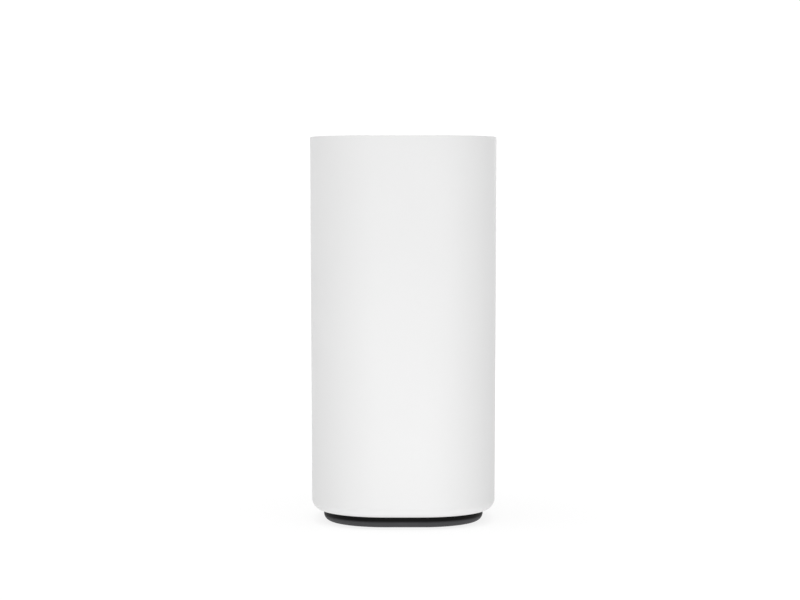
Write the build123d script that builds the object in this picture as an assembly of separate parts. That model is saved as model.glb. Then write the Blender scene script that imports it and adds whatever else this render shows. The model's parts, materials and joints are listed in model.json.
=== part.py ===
from build123d import *
import os
from math import atan2, cos, degrees, radians, sin, sqrt

# Tower wireless router. Millimetres, +Z up, front towards -Y, sockets towards +Y.
# Origin: the middle of the footprint, on the plane of the rubber feet.

# ---------------------------------------------------------------- outer body
body_half_width = 55.0       # half the width across the top rim
body_corner_radius = 44.0    # plan radius of the four corners at the rim
body_side_radius = 330.0     # plan radius of the four shallow sides at the rim
side_beyond = body_side_radius - body_half_width     # a side arc's centre lies this far past the axis
corner_span = body_side_radius - body_corner_radius  # from a side arc's centre to a corner arc's centre
corner_centre = (sqrt(2 * corner_span**2 - side_beyond**2) - side_beyond) / 2    # its X and its Y
side_half_angle = degrees(atan2(corner_centre, corner_centre + side_beyond))
body_draft = 0.9             # how much the half width shrinks from rim to bottom
body_top = 226.0
body_bottom = 6.7            # underside of the shell, above the standing plane
bottom_round = 6.6           # rounding of the shell's lower edge
rim_round = 0.6
inner_half_width = 51.9      # straight inner wall of the shell
lip_thickness = 2.2
lip_half_width = 43.0        # opening in the lip at the bottom of the shell
ledge_height = 220.0         # the vent cover rests here
recess_half_width = 53.2

# ---------------------------------------------------------------- foot
foot_half_width = 47.1
foot_round = 4.5
foot_clear = 0.3             # the foot's underside stands this far off the surface
pad_reach = 26.0             # rubber feet sit at +-pad_reach in X and Y
pad_radius = 7.0
pad_pocket = 1.5
pad_round = 0.4
spigot_gap = 0.2             # between the foot's spigot and the shell's lip opening
label_size = (44.0, 30.0)
label_pocket = 0.4
label_thickness = 0.15
label_margin = 0.5           # of the label inside its pocket
base_screw_reach = 34.0      # screws sit on the X and Y axes at this distance
screw_radius = 1.5
screw_head_radius = 2.8
screw_head_height = 1.9
screw_head_round = 0.7
screw_well_depth = 3.4
screw_well_gap = 0.3         # round the head
screw_past_plate = 4.0       # how far a base screw reaches above the chassis plate
cross_arm = (3.0, 0.6)       # length and width of the cross recess in a screw head
cross_depth = 1.1
thread_gap = 0.05

# ---------------------------------------------------------------- rear window and panel
window_half_width = 15.0
window_low, window_high = 16.0, 194.0
window_corner = 6.0
panel_half_width = 18.0
panel_low, panel_high = 13.0, 197.0
panel_face = 50.9            # outer face of the port panel
panel_thickness = 2.0
panel_back = panel_face - panel_thickness
fit_gap = 0.25               # gap round a socket where it passes the panel
vent_low, vent_high = 143.0, 189.0
vent_pitch = 4.6
vent_slot = (22.0, 2.3)

# ---------------------------------------------------------------- top cover
cover_thickness = 2.5
cover_gap = 0.15
cover_top = ledge_height + cover_thickness
louvre_pitch = 5.2
louvre_width = 2.4
louvre_margin = 7.0
louvre_rows_each_side = 8
hook_x = (40.4, 42.0)        # a hook's leg, from its inner to its outer face
hook_y = 15.6
hook_half_width = 4.0
barb_reach = 44.6
barb_depth = 1.8             # the barb's height, below the chassis ring
leg_past_barb = 0.4
rib_x = 24.0
rib_size = (1.6, 88.0, 2.5)
lens_radius = 4.5
lens_collar_radius = 9.0
lens_gap = 0.1
lens_proud = 0.3
guide_radius = 1.7
guide_rise = 9.0             # straight part of the light guide above the emitter
guide_slant = 10.0           # height over which it moves to the axis
guide_bend = 6.0

# ---------------------------------------------------------------- main board
board_thickness = 1.6
board_front = -6.7           # X of the board's component side
board_back = board_front - board_thickness
board_near, board_far = -43.0, 45.0      # its two upright edges, in Y
board_low, board_high = 12.7, 190.0
board_screw_places = [(-38.0, 21.0), (-38.0, 180.0), (40.0, 180.0), (33.0, 19.0)]
board_screw_radius = 1.25
board_boss_depth = 6.0
board_hole_gap = 0.2
board_head = (2.4, 1.7, 0.5) # radius, height and rounding of a board screw's head
led_x = board_front + 1.9
led_height = 188.4           # upper face of the status light's emitter
led_size = (2.2, 3.2, 1.8)

# ---------------------------------------------------------------- sockets, from bottom to top
power_socket_height = 28.0
wan_socket_height = 48.0
lan_socket_height = 86.6     # middle of the three LAN sockets
lan_pitch = 16.6
reset_height = 117.0
pair_height = 129.5
jack_depth = 21.3
jack_reach = 13.4            # how far a network socket stands off the board
jack_width = 16.0
jack_shield = 0.3
socket_width = 11.7
socket_height = 6.9
socket_depth = 14.0
socket_floor = -4.6          # X of the contact side of a network socket
latch_steps = ((6.2, 1.6), (3.2, 3.0))   # width and depth of the two latch notches
contact_pitch = 1.02
contact_width = 0.45
contact_count = 8
contact_knee = (4.2, 4.8)    # the bend at a contact's tip, measured in from the panel's face
contact_rise = (2.2, 2.7)    # how far its back end stands off the socket's floor
power_bore_radius = 3.2
power_pin_radius = 1.05
power_nose_radius = 5.2
power_depth = 14.0
power_base_half = 4.6
power_back_wall = 2.0
power_collar_room = 0.4      # the base stops this far behind the panel
power_pin_recess = 1.6
power_leaf = (2.4, 7.0, 0.3) # width, length and thickness of the sleeve contact
power_leaf_bow = (0.35, 1.05)    # its distance from the well's wall at the back and at the tip

# ---------------------------------------------------------------- buttons
pair_cap_radius = 4.0
pair_cap_gap = 0.3
pair_stand_proud = 1.0
pair_axis_x = -2.8           # line of the pair switch's plunger
plunger_radius = 1.4
plunger_gap = 0.3
switch_travel_room = 1.0
reset_pinhole_radius = 1.1
pair_stem_end = panel_back - 3.6
reset_plunger_end = panel_back - 1.4
pair_flange = (5.2, 1.0)     # radius and thickness of the flange behind the panel
pair_flange_gap = 0.1
pair_cap_round = 0.5
switch_face = panel_back - 5.4
switch_depth = 7.0
switch_well = 3.4
switch_over_axis = 2.4       # how far a switch's body reaches past its plunger's axis
pair_switch_half, reset_switch_half = 3.4, 2.8

# ---------------------------------------------------------------- chassis
plate_low = body_bottom + lip_thickness
plate_thickness = 2.2
plate_top = plate_low + plate_thickness
chassis_half_width = 51.5    # top ring
plate_half_width = 47.2      # bottom plate, inside the rounding of the shell's lower edge
ring_low, ring_high = 206.0, 208.0
ring_opening = 44.0
post_reach = 46.5            # distance of a corner post's middle from the axis
post_size = (5.4, 8.0)
rail_groove_gap = 0.1
rail_half_width = 3.0
front_rail = (-47.0, -41.0)  # Y range; its groove holds the board's front edge
rear_rail = (43.0, 47.0)
rear_rail_low = 140.0        # the sockets are below it
rail_groove_depth = 1.0      # past the rail's inner face
panel_post = (16.0, 22.0)    # X range of the two posts behind the panel
panel_post_near = 41.0
boss_half = 3.5
boss_above_screw = 4.0
base_boss_height = 5.0
plate_window = 26.0          # half width of the opening in the bottom plate
screw_bite = 5.0             # depth of a board screw's hole

# ---------------------------------------------------------------- heat sinks
sink_standoff = 4.5
radio_sink_standoff = 3.9
sink_base = 3.0
fin_thickness = 1.3
main_sink = dict(near=-40.0, far=-2.0, low=34.0, high=178.0, reach=39.0, fins=8)
radio_sink = dict(near=-38.0, far=34.0, low=44.0, high=174.0, reach=-39.0, fins=13)
corner_reach = 26.5          # fins beside the corner posts stop short of them
corner_from = 25.0           # how far from the middle, in Y, the shorter fins start
main_sink_screws = [(y, z) for y in (-36.5, -5.5) for z in (44.0, 168.0)]
radio_sink_screws = [(y, z) for y in (-26.0, 26.0) for z in (58.5, 160.0)]
boss_radius = 3.0
sink_hole_depth = 2.0        # into the sink's base

# ---------------------------------------------------------------- antennas
antenna_reach = 49.2         # inner face of an antenna plate, from the axis
antenna_size = (0.8, 22.0, 44.0)
antenna_low = 157.0
antenna_angles = (45, 135, 225, 315)
lead_radius = 0.6
lead_height = 197.5          # the leads cross the top of the board here
lead_bend = 4.5
lead_start = 5.0             # above the antenna's lower edge
lead_side = 7.0              # beside the corner post
antenna_socket_y = 24.0
antenna_socket_z = 184.0
antenna_socket_size = 3.0
socket_stand = 0.8
plug_size = 2.6
plug_height = 1.4
plug_standoff = 1.5          # the lead enters the plug this far off the board

# ---------------------------------------------------------------- chips: place in Y and Z, size in Y and Z
chip_height = 1.4
dimple = (0.5, 1.4, 0.15)    # radius, distance from both edges and depth of the pin-one mark
pedestal_drop = 2.1
chip_places = dict(processor=(-21.0, 100.0, 19.0, 19.0), flash=(-22.0, 66.0, 8.0, 6.0),
                   switch=(6.0, 74.0, 12.0, 12.0))
memory_places = [(-28.0, 128.0), (-14.0, 128.0)]
memory_size = (9.0, 13.0)
radio_places = [(-6.0, 84.0), (-6.0, 134.0)]
radio_chip_size = 11.0
radio_can = (34.0, 38.0)
radio_can_height = 2.6
can_sheet = 0.25
can_frame_rim = 0.4          # thickness of the frame's wall past the sheet of the lid
can_lid_lift = 0.5           # the lid's skirt stops this far off the board


transformer_y = 20.5
transformer_size = (8.0, 12.6, 4.2)          # along Y, along Z and height
inductor_places = [(16.0, 24.0), (16.0, 36.0), (6.0, 24.0)]
inductor_size = 6.8
inductor_height = 3.6
inductor_corner = 1.0
capacitor_places = [(24.0, 22.0), (12.0, 22.0), (0.0, 22.0)]
capacitor_radius = 4.0
capacitor_height = 11.5
capacitor_round = 0.5
crimp_range = (2.2, 2.8)     # the crimped groove near a capacitor's foot
crimp_radius = 3.6
crystal_places = [(-35.0, 66.0), (-4.0, 60.0)]
crystal_size = (3.2, 5.0, 0.9)


# ================================================================ helpers
def plan_face(half_width):
    """Rounded-square plan: four shallow side arcs and four corner arcs, tangent, concentric with the rim."""
    inset = body_half_width - half_width
    side = CenterArc((-side_beyond, 0), body_side_radius - inset, -side_half_angle, 2 * side_half_angle)
    corner = CenterArc((corner_centre, corner_centre), body_corner_radius - inset,
                       side_half_angle, 90 - 2 * side_half_angle)
    return make_face(Wire([piece.rotate(Axis.Z, 90 * turn) for turn in range(4) for piece in (side, corner)]))


def prism(half_width, low, high):
    return extrude(Pos(0, 0, low) * plan_face(half_width), high - low)


def block(x_range, y_range, z_range):
    """A box between two values on each axis."""
    spans = [(min(pair), max(pair)) for pair in (x_range, y_range, z_range)]
    middle = [(low + high) / 2 for low, high in spans]
    return Pos(*middle) * Box(*[high - low for low, high in spans])


def centred_block(width, depth, z_range):
    """A box round the Z axis."""
    return block((-width / 2, width / 2), (-depth / 2, depth / 2), z_range)


def upright_rod(radius, x, y, low, high):
    return Pos(x, y, (low + high) / 2) * Cylinder(radius, high - low)


def rod_along_y(radius, x, z, near, far):
    return Pos(x, (near + far) / 2, z) * Rot(90, 0, 0) * Cylinder(radius, far - near)


def rod_along_x(radius, y, z, x_from, x_to):
    return Pos((x_from + x_to) / 2, y, z) * Rot(0, 90, 0) * Cylinder(radius, abs(x_to - x_from))


def upright_slab(width, height, corner, middle_z, near, far):
    """A plate with rounded corners that stands across the Y axis."""
    face = Plane(origin=(0, far, middle_z), x_dir=(1, 0, 0), z_dir=(0, -1, 0)) * RectangleRounded(
        width, height, corner)
    return extrude(face, far - near)


def joined(pieces):
    whole = pieces[0]
    for piece in pieces[1:]:
        whole = whole + piece
    return whole


def without(whole, cuts):
    for cut in cuts:
        whole = whole - cut
    return whole


def group(pieces):
    """Separate solids that share one node."""
    return Compound([solid for piece in pieces for solid in piece.solids()])


# ================================================================ outer body
def outer_shell():
    """One-piece sleeve: drafted wall, edge turned in to a lip below, recess for the vent cover above."""
    low_face = Pos(0, 0, body_bottom) * plan_face(body_half_width - body_draft)
    high_face = Pos(0, 0, body_top) * plan_face(body_half_width)
    sleeve = loft([low_face, high_face], ruled=True)
    sleeve = fillet(sleeve.edges().group_by(Axis.Z)[0], bottom_round)
    sleeve = fillet(sleeve.edges().group_by(Axis.Z)[-1], rim_round)
    cavity = prism(inner_half_width, plate_low, ledge_height)
    cavity = fillet(cavity.edges().group_by(Axis.Z)[0], bottom_round - lip_thickness)
    recess = prism(recess_half_width, ledge_height, body_top + 1)
    lip_opening = prism(lip_half_width, body_bottom - 1, plate_low + 1)
    window = upright_slab(2 * window_half_width, window_high - window_low, window_corner,
                          (window_high + window_low) / 2, panel_back, body_half_width + 1)
    return without(sleeve, [cavity, recess, lip_opening, window])


def screw_places():
    return [(base_screw_reach * cos(radians(angle)), base_screw_reach * sin(radians(angle)))
            for angle in (0, 90, 180, 270)]


def pad_places():
    return [(pad_reach * across, pad_reach * along) for across in (-1, 1) for along in (-1, 1)]


def base_foot():
    """Solid foot below the shell's lip, with a spigot that centres it in the lip."""
    disc = prism(foot_half_width, foot_clear, body_bottom)
    disc = fillet(disc.edges().group_by(Axis.Z)[0], foot_round)
    foot = disc + prism(lip_half_width - spigot_gap, body_bottom, plate_low)
    pads = [upright_rod(pad_radius, x, y, 0, foot_clear + pad_pocket) for x, y in pad_places()]
    wells = [upright_rod(screw_head_radius + screw_well_gap, x, y, 0, foot_clear + screw_well_depth)
             for x, y in screw_places()]
    holes = [upright_rod(screw_radius + thread_gap, x, y, 0, plate_low) for x, y in screw_places()]
    label = centred_block(*label_size, (0, foot_clear + label_pocket))
    return without(foot, pads + wells + holes + [label])


def rubber_feet():
    pads = [upright_rod(pad_radius, x, y, 0, foot_clear + pad_pocket) for x, y in pad_places()]
    return group([fillet(pad.edges().group_by(Axis.Z)[0], pad_round) for pad in pads])


def rating_label():
    top = foot_clear + label_pocket
    width, depth = [side - 2 * label_margin for side in label_size]
    return centred_block(width, depth, (top - label_thickness, top))


def screw_with_head(head_low):
    """Pan head with a cross recess, pointing up."""
    head = upright_rod(screw_head_radius, 0, 0, head_low, head_low + screw_head_height)
    head = fillet(head.edges().group_by(Axis.Z)[0], screw_head_round)
    shank = upright_rod(screw_radius, 0, 0, head_low + screw_head_height, plate_top + screw_past_plate)
    arm = centred_block(*cross_arm, (head_low, head_low + cross_depth))
    return without(head + shank, [arm, Rot(0, 0, 90) * arm])


def base_screws():
    screw = screw_with_head(foot_clear + screw_well_depth - screw_head_height)
    return group([Pos(x, y, 0) * screw for x, y in screw_places()])


# ================================================================ top
def louvre_rows():
    """Places of the louvres along Y."""
    return [row * louvre_pitch for row in range(-louvre_rows_each_side, louvre_rows_each_side + 1)]


def outline_reach(half_width, y):
    """Half the width of the plan outline at a distance y from its middle."""
    radius = body_corner_radius - (body_half_width - half_width)
    rise = max(abs(y) - corner_centre, 0)
    return corner_centre + sqrt(radius**2 - rise**2)


def cover_hook(side, y):
    """A leg that reaches down inside the chassis ring and hooks under it."""
    inner, outer = hook_x
    width = (y - hook_half_width, y + hook_half_width)
    leg = block((side * inner, side * outer), width, (ring_low - barb_depth - leg_past_barb, ledge_height))
    barb = block((side * outer, side * barb_reach), width, (ring_low - barb_depth, ring_low))
    return leg + barb


def top_vent_cover():
    """Louvred cover recessed below the rim, with a collar for the status light."""
    cover = prism(recess_half_width - cover_gap, ledge_height, cover_top)
    cover = fillet(cover.edges().group_by(Axis.Z)[-1], rim_round)
    slots = []
    start = lens_collar_radius + louvre_width
    for y in louvre_rows():
        end = outline_reach(recess_half_width - louvre_margin, y)
        beside_collar = abs(y) < start
        spans = [(-end, -start), (start, end)] if beside_collar else [(-end, end)]
        for low, high in spans:
            slot = SlotOverall(high - low, louvre_width)
            slots.append(extrude(Pos((low + high) / 2, y, ledge_height) * slot, cover_thickness))
    thickness, length, depth = rib_size
    rib = centred_block(thickness, length, (ledge_height - depth, ledge_height))
    ribs = [Pos(x, 0, 0) * rib for x in (-rib_x, rib_x)]
    hooks = [cover_hook(side, y) for side in (-1, 1) for y in (-hook_y, hook_y)]
    lens_hole = upright_rod(lens_radius + lens_gap, 0, 0, ledge_height - 1, cover_top)
    return without(joined([without(cover, slots)] + ribs + hooks), [lens_hole])


def status_light_lens():
    lens = upright_rod(lens_radius, 0, 0, ledge_height, cover_top + lens_proud)
    return fillet(lens.edges().group_by(Axis.Z)[-1], lens_proud)


def light_guide():
    """Clear rod from the emitter at the board's upper edge to the lens."""
    bend_low = led_height + guide_rise
    route = FilletPolyline((led_x, 0, led_height), (led_x, 0, bend_low), (0, 0, bend_low + guide_slant),
                           (0, 0, ledge_height), radius=guide_bend)
    return sweep(Plane(origin=(led_x, 0, led_height), z_dir=(0, 0, 1)) * Circle(guide_radius), path=route)


def status_led():
    depth, width, height = led_size
    return block((board_front, board_front + depth), (-width / 2, width / 2), (led_height - height, led_height))


# ================================================================ rear panel
def socket_centres():
    return [wan_socket_height] + [lan_socket_height + lan_pitch * step for step in (-1, 0, 1)]


def rear_port_panel():
    """Flat panel behind the shell's window, cut for every socket, button and vent."""
    panel = upright_slab(2 * panel_half_width, panel_high - panel_low, window_corner,
                         (panel_high + panel_low) / 2, panel_back, panel_face)
    side = jack_reach / 2 + fit_gap
    past = (panel_back - 1, panel_face + 1)
    cuts = [block((-side, side), past, (wan_socket_height - jack_width / 2 - fit_gap,
                                        wan_socket_height + jack_width / 2 + fit_gap))]
    lan_half = lan_pitch + jack_width / 2 + fit_gap
    cuts.append(block((-side, side), past, (lan_socket_height - lan_half, lan_socket_height + lan_half)))
    cuts.append(rod_along_y(power_nose_radius + fit_gap, 0, power_socket_height, *past))
    cuts.append(rod_along_y(pair_cap_radius + pair_cap_gap, 0, pair_height, *past))
    cuts.append(rod_along_y(reset_pinhole_radius, pair_axis_x, reset_height, *past))
    rows = int((vent_high - vent_low) / vent_pitch) + 1
    for row in range(rows):
        slot = upright_slab(*vent_slot, vent_slot[1] / 2 - 0.01, vent_low + row * vent_pitch, *past)
        cuts.append(slot)
    return without(panel, cuts)


# ================================================================ network sockets
def jack_block(centres):
    """Moulded insulator with a stepped socket for each plug."""
    low, high = centres[0] - jack_width / 2, centres[-1] + jack_width / 2
    inside = jack_reach / 2 - jack_shield
    near = panel_face - jack_depth + jack_shield
    body = block((board_front, inside), (near, panel_face - jack_shield),
                 (low + jack_shield, high - jack_shield))
    return without(body, [cut for centre in centres for cut in socket_cuts(centre)])


def socket_cuts(centre):
    mouth = (panel_face - socket_depth, panel_face + 1)
    cuts = [block((socket_floor, socket_floor + socket_height), mouth,
                  (centre - socket_width / 2, centre + socket_width / 2))]
    for width, depth in latch_steps:
        cuts.append(block((socket_floor + socket_height, socket_floor + socket_height + depth), mouth,
                          (centre - width / 2, centre + width / 2)))
    return cuts


def jack_shield_can(centres):
    """Sheet-metal can round the insulator, open towards the board, with the socket mouths cut in its front."""
    low, high = centres[0] - jack_width / 2, centres[-1] + jack_width / 2
    near = panel_face - jack_depth
    can = block((board_front, jack_reach / 2), (near, panel_face), (low, high))
    inside = block((board_front - 1, jack_reach / 2 - jack_shield),
                   (near + jack_shield, panel_face - jack_shield), (low + jack_shield, high - jack_shield))
    return without(can, [inside] + [cut for centre in centres for cut in socket_cuts(centre)])


def jack_contacts(centres):
    """Gilt spring wires that slope up from the socket's floor towards its back."""
    wires = []
    for centre in centres:
        for index in range(contact_count):
            middle = centre + (index - (contact_count - 1) / 2) * contact_pitch
            tips = [(socket_floor, panel_face - along) for along in contact_knee]
            ends = [(socket_floor + rise, panel_face - socket_depth) for rise in contact_rise]
            profile = Plane(origin=(0, 0, middle - contact_width / 2), z_dir=(0, 0, 1)) * Polygon(
                *tips, *ends, align=None)
            wires.append(extrude(profile, contact_width))
    return group(wires)


# ================================================================ power socket
def power_jack_housing():
    near = panel_face - power_depth
    well_floor = near + power_back_wall
    base_end = panel_back - power_collar_room
    base = block((board_front, power_base_half), (near, base_end),
                 (power_socket_height - power_base_half, power_socket_height + power_base_half))
    nose = rod_along_y(power_nose_radius, 0, power_socket_height, base_end, panel_face)
    bore = rod_along_y(power_bore_radius, 0, power_socket_height, well_floor, panel_face + 1)
    pin_hole = rod_along_y(power_pin_radius, 0, power_socket_height, near, well_floor)
    return without(base + nose, [bore, pin_hole])


def power_jack_pin():
    near = panel_face - power_depth
    pin = rod_along_y(power_pin_radius, 0, power_socket_height, near, panel_face - power_pin_recess)
    return fillet(pin.edges().group_by(Axis.Y)[-1], power_pin_radius / 2)


def power_jack_contact():
    """Leaf that bears on the plug's sleeve."""
    near = panel_face - power_depth + power_back_wall
    width, length, thickness = power_leaf
    back, tip = [gap - power_bore_radius for gap in power_leaf_bow]
    far = near + length
    profile = Plane(origin=(0, 0, power_socket_height - width / 2), z_dir=(0, 0, 1)) * Polygon(
        (back, near), (back + thickness, near), (tip + thickness, far), (tip, far), align=None)
    return extrude(profile, width)


# ================================================================ buttons
def side_switch(height, half_span, plunger_end):
    """Side-acting switch: its body with a plunger well, and the plunger with its own end plane."""
    body = block((board_front, pair_axis_x + switch_over_axis), (switch_face - switch_depth, switch_face),
                 (height - half_span, height + half_span))
    well_floor = switch_face - switch_well
    well = rod_along_y(plunger_radius + plunger_gap, pair_axis_x, height, well_floor, switch_face + 1)
    plunger = rod_along_y(plunger_radius, pair_axis_x, height, well_floor + switch_travel_room, plunger_end)
    return body - well, plunger


def pair_button_cap():
    """Round cap with a flange that keeps it behind the panel and a stem that meets the switch."""
    flange_radius, flange_thickness = pair_flange
    flange_face = panel_back - pair_flange_gap
    flange_back = flange_face - flange_thickness
    cap = rod_along_y(pair_cap_radius, 0, pair_height, flange_face, panel_face + pair_stand_proud)
    cap = fillet(cap.edges().group_by(Axis.Y)[-1], pair_cap_round)
    flange = rod_along_y(flange_radius, 0, pair_height, flange_back, flange_face)
    stem = rod_along_y(plunger_radius, pair_axis_x, pair_height, pair_stem_end, flange_back)
    return cap + flange + stem


# ================================================================ chassis
def corner_post(angle):
    depth, width = post_size
    post = centred_block(depth, width, (plate_top, ring_low))
    return Rot(0, 0, angle) * Pos(post_reach, 0, 0) * post


def board_rail(near, far, low, high, groove_edge):
    """Upright rail with a groove for one edge of the board."""
    middle = (board_front + board_back) / 2
    rail = block((middle - rail_half_width, middle + rail_half_width), (near, far), (low, high))
    half = board_thickness / 2 + rail_groove_gap
    groove = block((middle - half, middle + half), groove_edge, (low, board_high + 1))
    return rail - groove


def board_boss(y, z, support):
    """A block beside the board that takes one board screw; support is the rail or plate it grows from."""
    x_range = (board_back - board_boss_depth, board_back)
    if support == "plate":
        return block(x_range, (y - boss_half, y + boss_half), (plate_top, z + boss_above_screw))
    edge = (front_rail[0], y + boss_half) if y < 0 else (y - boss_half, rear_rail[1])
    return block(x_range, edge, (z - boss_above_screw, z + boss_above_screw))


def inner_chassis():
    """Skeleton that carries everything: bottom plate, top ring, posts, board rails and screw bosses."""
    plate = prism(plate_half_width, plate_low, plate_top)
    ring = prism(chassis_half_width, ring_low, ring_high) - prism(ring_opening, ring_low, ring_high)
    posts = [corner_post(angle) for angle in antenna_angles]
    panel_posts = [block((side * panel_post[0], side * panel_post[1]), (panel_post_near, panel_back),
                         (plate_top, ring_low)) for side in (-1, 1)]
    rails = [board_rail(*front_rail, plate_top, ring_low,
                        (board_near - rail_groove_gap, front_rail[1] + rail_groove_depth)),
             board_rail(*rear_rail, rear_rail_low, ring_low,
                        (rear_rail[0] - rail_groove_depth, board_far + rail_groove_gap))]
    lowest = min(z for y, z in board_screw_places if y > 0)
    bosses = [board_boss(y, z, "plate" if z == lowest else "rail") for y, z in board_screw_places]
    base_bosses = [upright_rod(boss_half, x, y, plate_top, plate_top + base_boss_height)
                   for x, y in screw_places()]
    hole_top = plate_top + screw_past_plate + thread_gap
    screw_holes = [upright_rod(screw_radius + thread_gap, x, y, plate_low, hole_top) for x, y in screw_places()]
    board_holes = [rod_along_x(board_screw_radius + thread_gap, y, z, board_back - screw_bite, board_back)
                   for y, z in board_screw_places]
    window = prism(plate_window, plate_low, plate_top)
    whole = joined([plate - window, ring] + rails + posts + panel_posts + bosses + base_bosses)
    return without(whole, screw_holes + board_holes)


# ================================================================ main board
def sink_bolts():
    return main_sink_screws + radio_sink_screws


def main_board():
    board = block((board_back, board_front), (board_near, board_far), (board_low, board_high))
    places = board_screw_places + sink_bolts()
    holes = [rod_along_x(board_screw_radius + board_hole_gap, y, z, board_back, board_front) for y, z in places]
    return without(board, holes)


def board_screw_set(places, head_face, tip, side):
    """Pan-head screws along X: head_face is the board face under the head, side the way the head points."""
    screws = []
    head_radius, head_height, head_round = board_head
    for y, z in places:
        head = rod_along_x(head_radius, y, z, head_face, head_face + side * head_height)
        head = fillet(head.edges().group_by(Axis.X)[-1 if side > 0 else 0], head_round)
        shank = rod_along_x(board_screw_radius, y, z, head_face, tip)
        screws.append(head + shank)
    return group(screws)


def board_screws():
    return board_screw_set(board_screw_places, board_front, board_back - screw_bite + board_hole_gap, 1)


def heat_sink_screws():
    bite = sink_hole_depth - board_hole_gap
    main = board_screw_set(main_sink_screws, board_back, board_front + sink_standoff + bite, -1)
    radio = board_screw_set(radio_sink_screws, board_front, board_back - radio_sink_standoff - bite, 1)
    return group([main, radio])


# ================================================================ chips
def chip(side_x, direction, y, z, size_y, size_z, height=chip_height):
    """A moulded chip with a pin-one dimple, on either face of the board."""
    body = block((side_x, side_x + direction * height), (y - size_y / 2, y + size_y / 2),
                 (z - size_z / 2, z + size_z / 2))
    radius, margin, depth = dimple
    mark = rod_along_x(radius, y - size_y / 2 + margin, z + size_z / 2 - margin,
                       side_x + direction * (height - depth), side_x + direction * (height + 1))
    return body - mark


def processor_chip():
    return chip(board_front, 1, *chip_places["processor"])


def flash_chip():
    return chip(board_front, 1, *chip_places["flash"])


def ethernet_switch_chip():
    return chip(board_front, 1, *chip_places["switch"])


def memory_chips():
    return group([chip(board_front, 1, y, z, *memory_size) for y, z in memory_places])


def radio_chips():
    return group([chip(board_back, -1, y, z, radio_chip_size, radio_chip_size) for y, z in radio_places])


def can_outline(y, z, inset, x_range):
    return block(x_range, (y - radio_can[0] / 2 + inset, y + radio_can[0] / 2 - inset),
                 (z - radio_can[1] / 2 + inset, z + radio_can[1] / 2 - inset))


def radio_shield_frames():
    top = board_back - radio_can_height + can_sheet
    frames = []
    for y, z in radio_places:
        outer = can_outline(y, z, can_sheet, (board_back, top))
        frames.append(outer - can_outline(y, z, 2 * can_sheet + can_frame_rim, (board_back, top)))
    return group(frames)


def radio_shield_lids():
    """Lids that clip over the frames."""
    top = board_back - radio_can_height
    lids = []
    for y, z in radio_places:
        outer = can_outline(y, z, 0, (board_back - can_lid_lift, top))
        lids.append(outer - can_outline(y, z, can_sheet, (board_back, top + can_sheet)))
    return group(lids)


def processor_thermal_pad():
    y, z, size_y, size_z = chip_places["processor"]
    top = board_front + sink_standoff - pedestal_drop
    return block((board_front + chip_height, top), (y - size_y / 2, y + size_y / 2),
                 (z - size_z / 2, z + size_z / 2))


def radio_thermal_pads():
    """One pad inside each shield, under its lid, and one between the lid and the heat sink."""
    half = radio_chip_size / 2
    pads = []
    for y, z in radio_places:
        spans = [(board_back - chip_height, board_back - radio_can_height + can_sheet),
                 (board_back - radio_can_height, board_back - radio_sink_standoff)]
        pads += [block(span, (y - half, y + half), (z - half, z + half)) for span in spans]
    return group(pads)


# ================================================================ heat sinks
def heat_sink(size, face, standoff, screws, direction):
    """Extruded heat sink with upright fins; bosses reach the board and take its screws."""
    base_from = face + direction * standoff
    base_to = base_from + direction * sink_base
    parts = [block((base_from, base_to), (size["near"], size["far"]), (size["low"], size["high"]))]
    gap = (size["far"] - size["near"] - fin_thickness) / (size["fins"] - 1)
    for index in range(size["fins"]):
        start = size["near"] + index * gap
        beside_post = max(abs(start), abs(start + fin_thickness)) > corner_from
        tip = direction * corner_reach if beside_post else size["reach"]
        parts.append(block((base_to, tip), (start, start + fin_thickness), (size["low"], size["high"])))
    for y, z in screws:
        parts.append(rod_along_x(boss_radius, y, z, face, base_from))
    holes = [rod_along_x(board_screw_radius + thread_gap, y, z, face, base_from + direction * sink_hole_depth)
             for y, z in screws]
    return without(joined(parts), holes)


def main_heat_sink():
    y, z, size_y, size_z = chip_places["processor"]
    sink = heat_sink(main_sink, board_front, sink_standoff, main_sink_screws, 1)
    top = board_front + sink_standoff
    return sink + block((top - pedestal_drop, top), (y - size_y / 2, y + size_y / 2),
                        (z - size_z / 2, z + size_z / 2))


def radio_heat_sink():
    return heat_sink(radio_sink, board_back, radio_sink_standoff, radio_sink_screws, -1)


# ================================================================ other board parts
def ethernet_transformers():
    return group([chip(board_front, 1, transformer_y, centre, *transformer_size)
                  for centre in socket_centres()])


def power_inductors():
    """Square ferrite cores with cut corners."""
    half = inductor_size / 2
    pieces = []
    for y, z in inductor_places:
        core = block((board_front, board_front + inductor_height), (y - half, y + half), (z - half, z + half))
        pieces.append(chamfer(core.edges().filter_by(Axis.X), inductor_corner))
    return group(pieces)


def smoothing_capacitors():
    """Upright metal cans with a crimped groove near the foot."""
    pieces = []
    groove_span = [board_back - along for along in crimp_range]
    for y, z in capacitor_places:
        can = rod_along_x(capacitor_radius, y, z, board_back, board_back - capacitor_height)
        can = fillet(can.edges().group_by(Axis.X)[0], capacitor_round)
        groove = rod_along_x(capacitor_radius + 1, y, z, *groove_span) - rod_along_x(
            crimp_radius, y, z, *groove_span)
        pieces.append(can - groove)
    return group(pieces)


def clock_crystals():
    return group([chip(board_front, 1, y, z, *crystal_size) for y, z in crystal_places])


# ================================================================ antennas
def antenna_plate(angle):
    depth, width, height = antenna_size
    plate = block((antenna_reach, antenna_reach + depth), (-width / 2, width / 2),
                  (antenna_low, antenna_low + height))
    return Rot(0, 0, angle) * plate


def antenna_side(angle):
    """The way out of the board's face that serves this corner, that face's X, and the socket's Y."""
    direction = 1 if cos(radians(angle)) > 0 else -1
    face = board_front if direction > 0 else board_back
    socket_y = antenna_socket_y if sin(radians(angle)) > 0 else -antenna_socket_y
    return direction, face, socket_y


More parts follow.
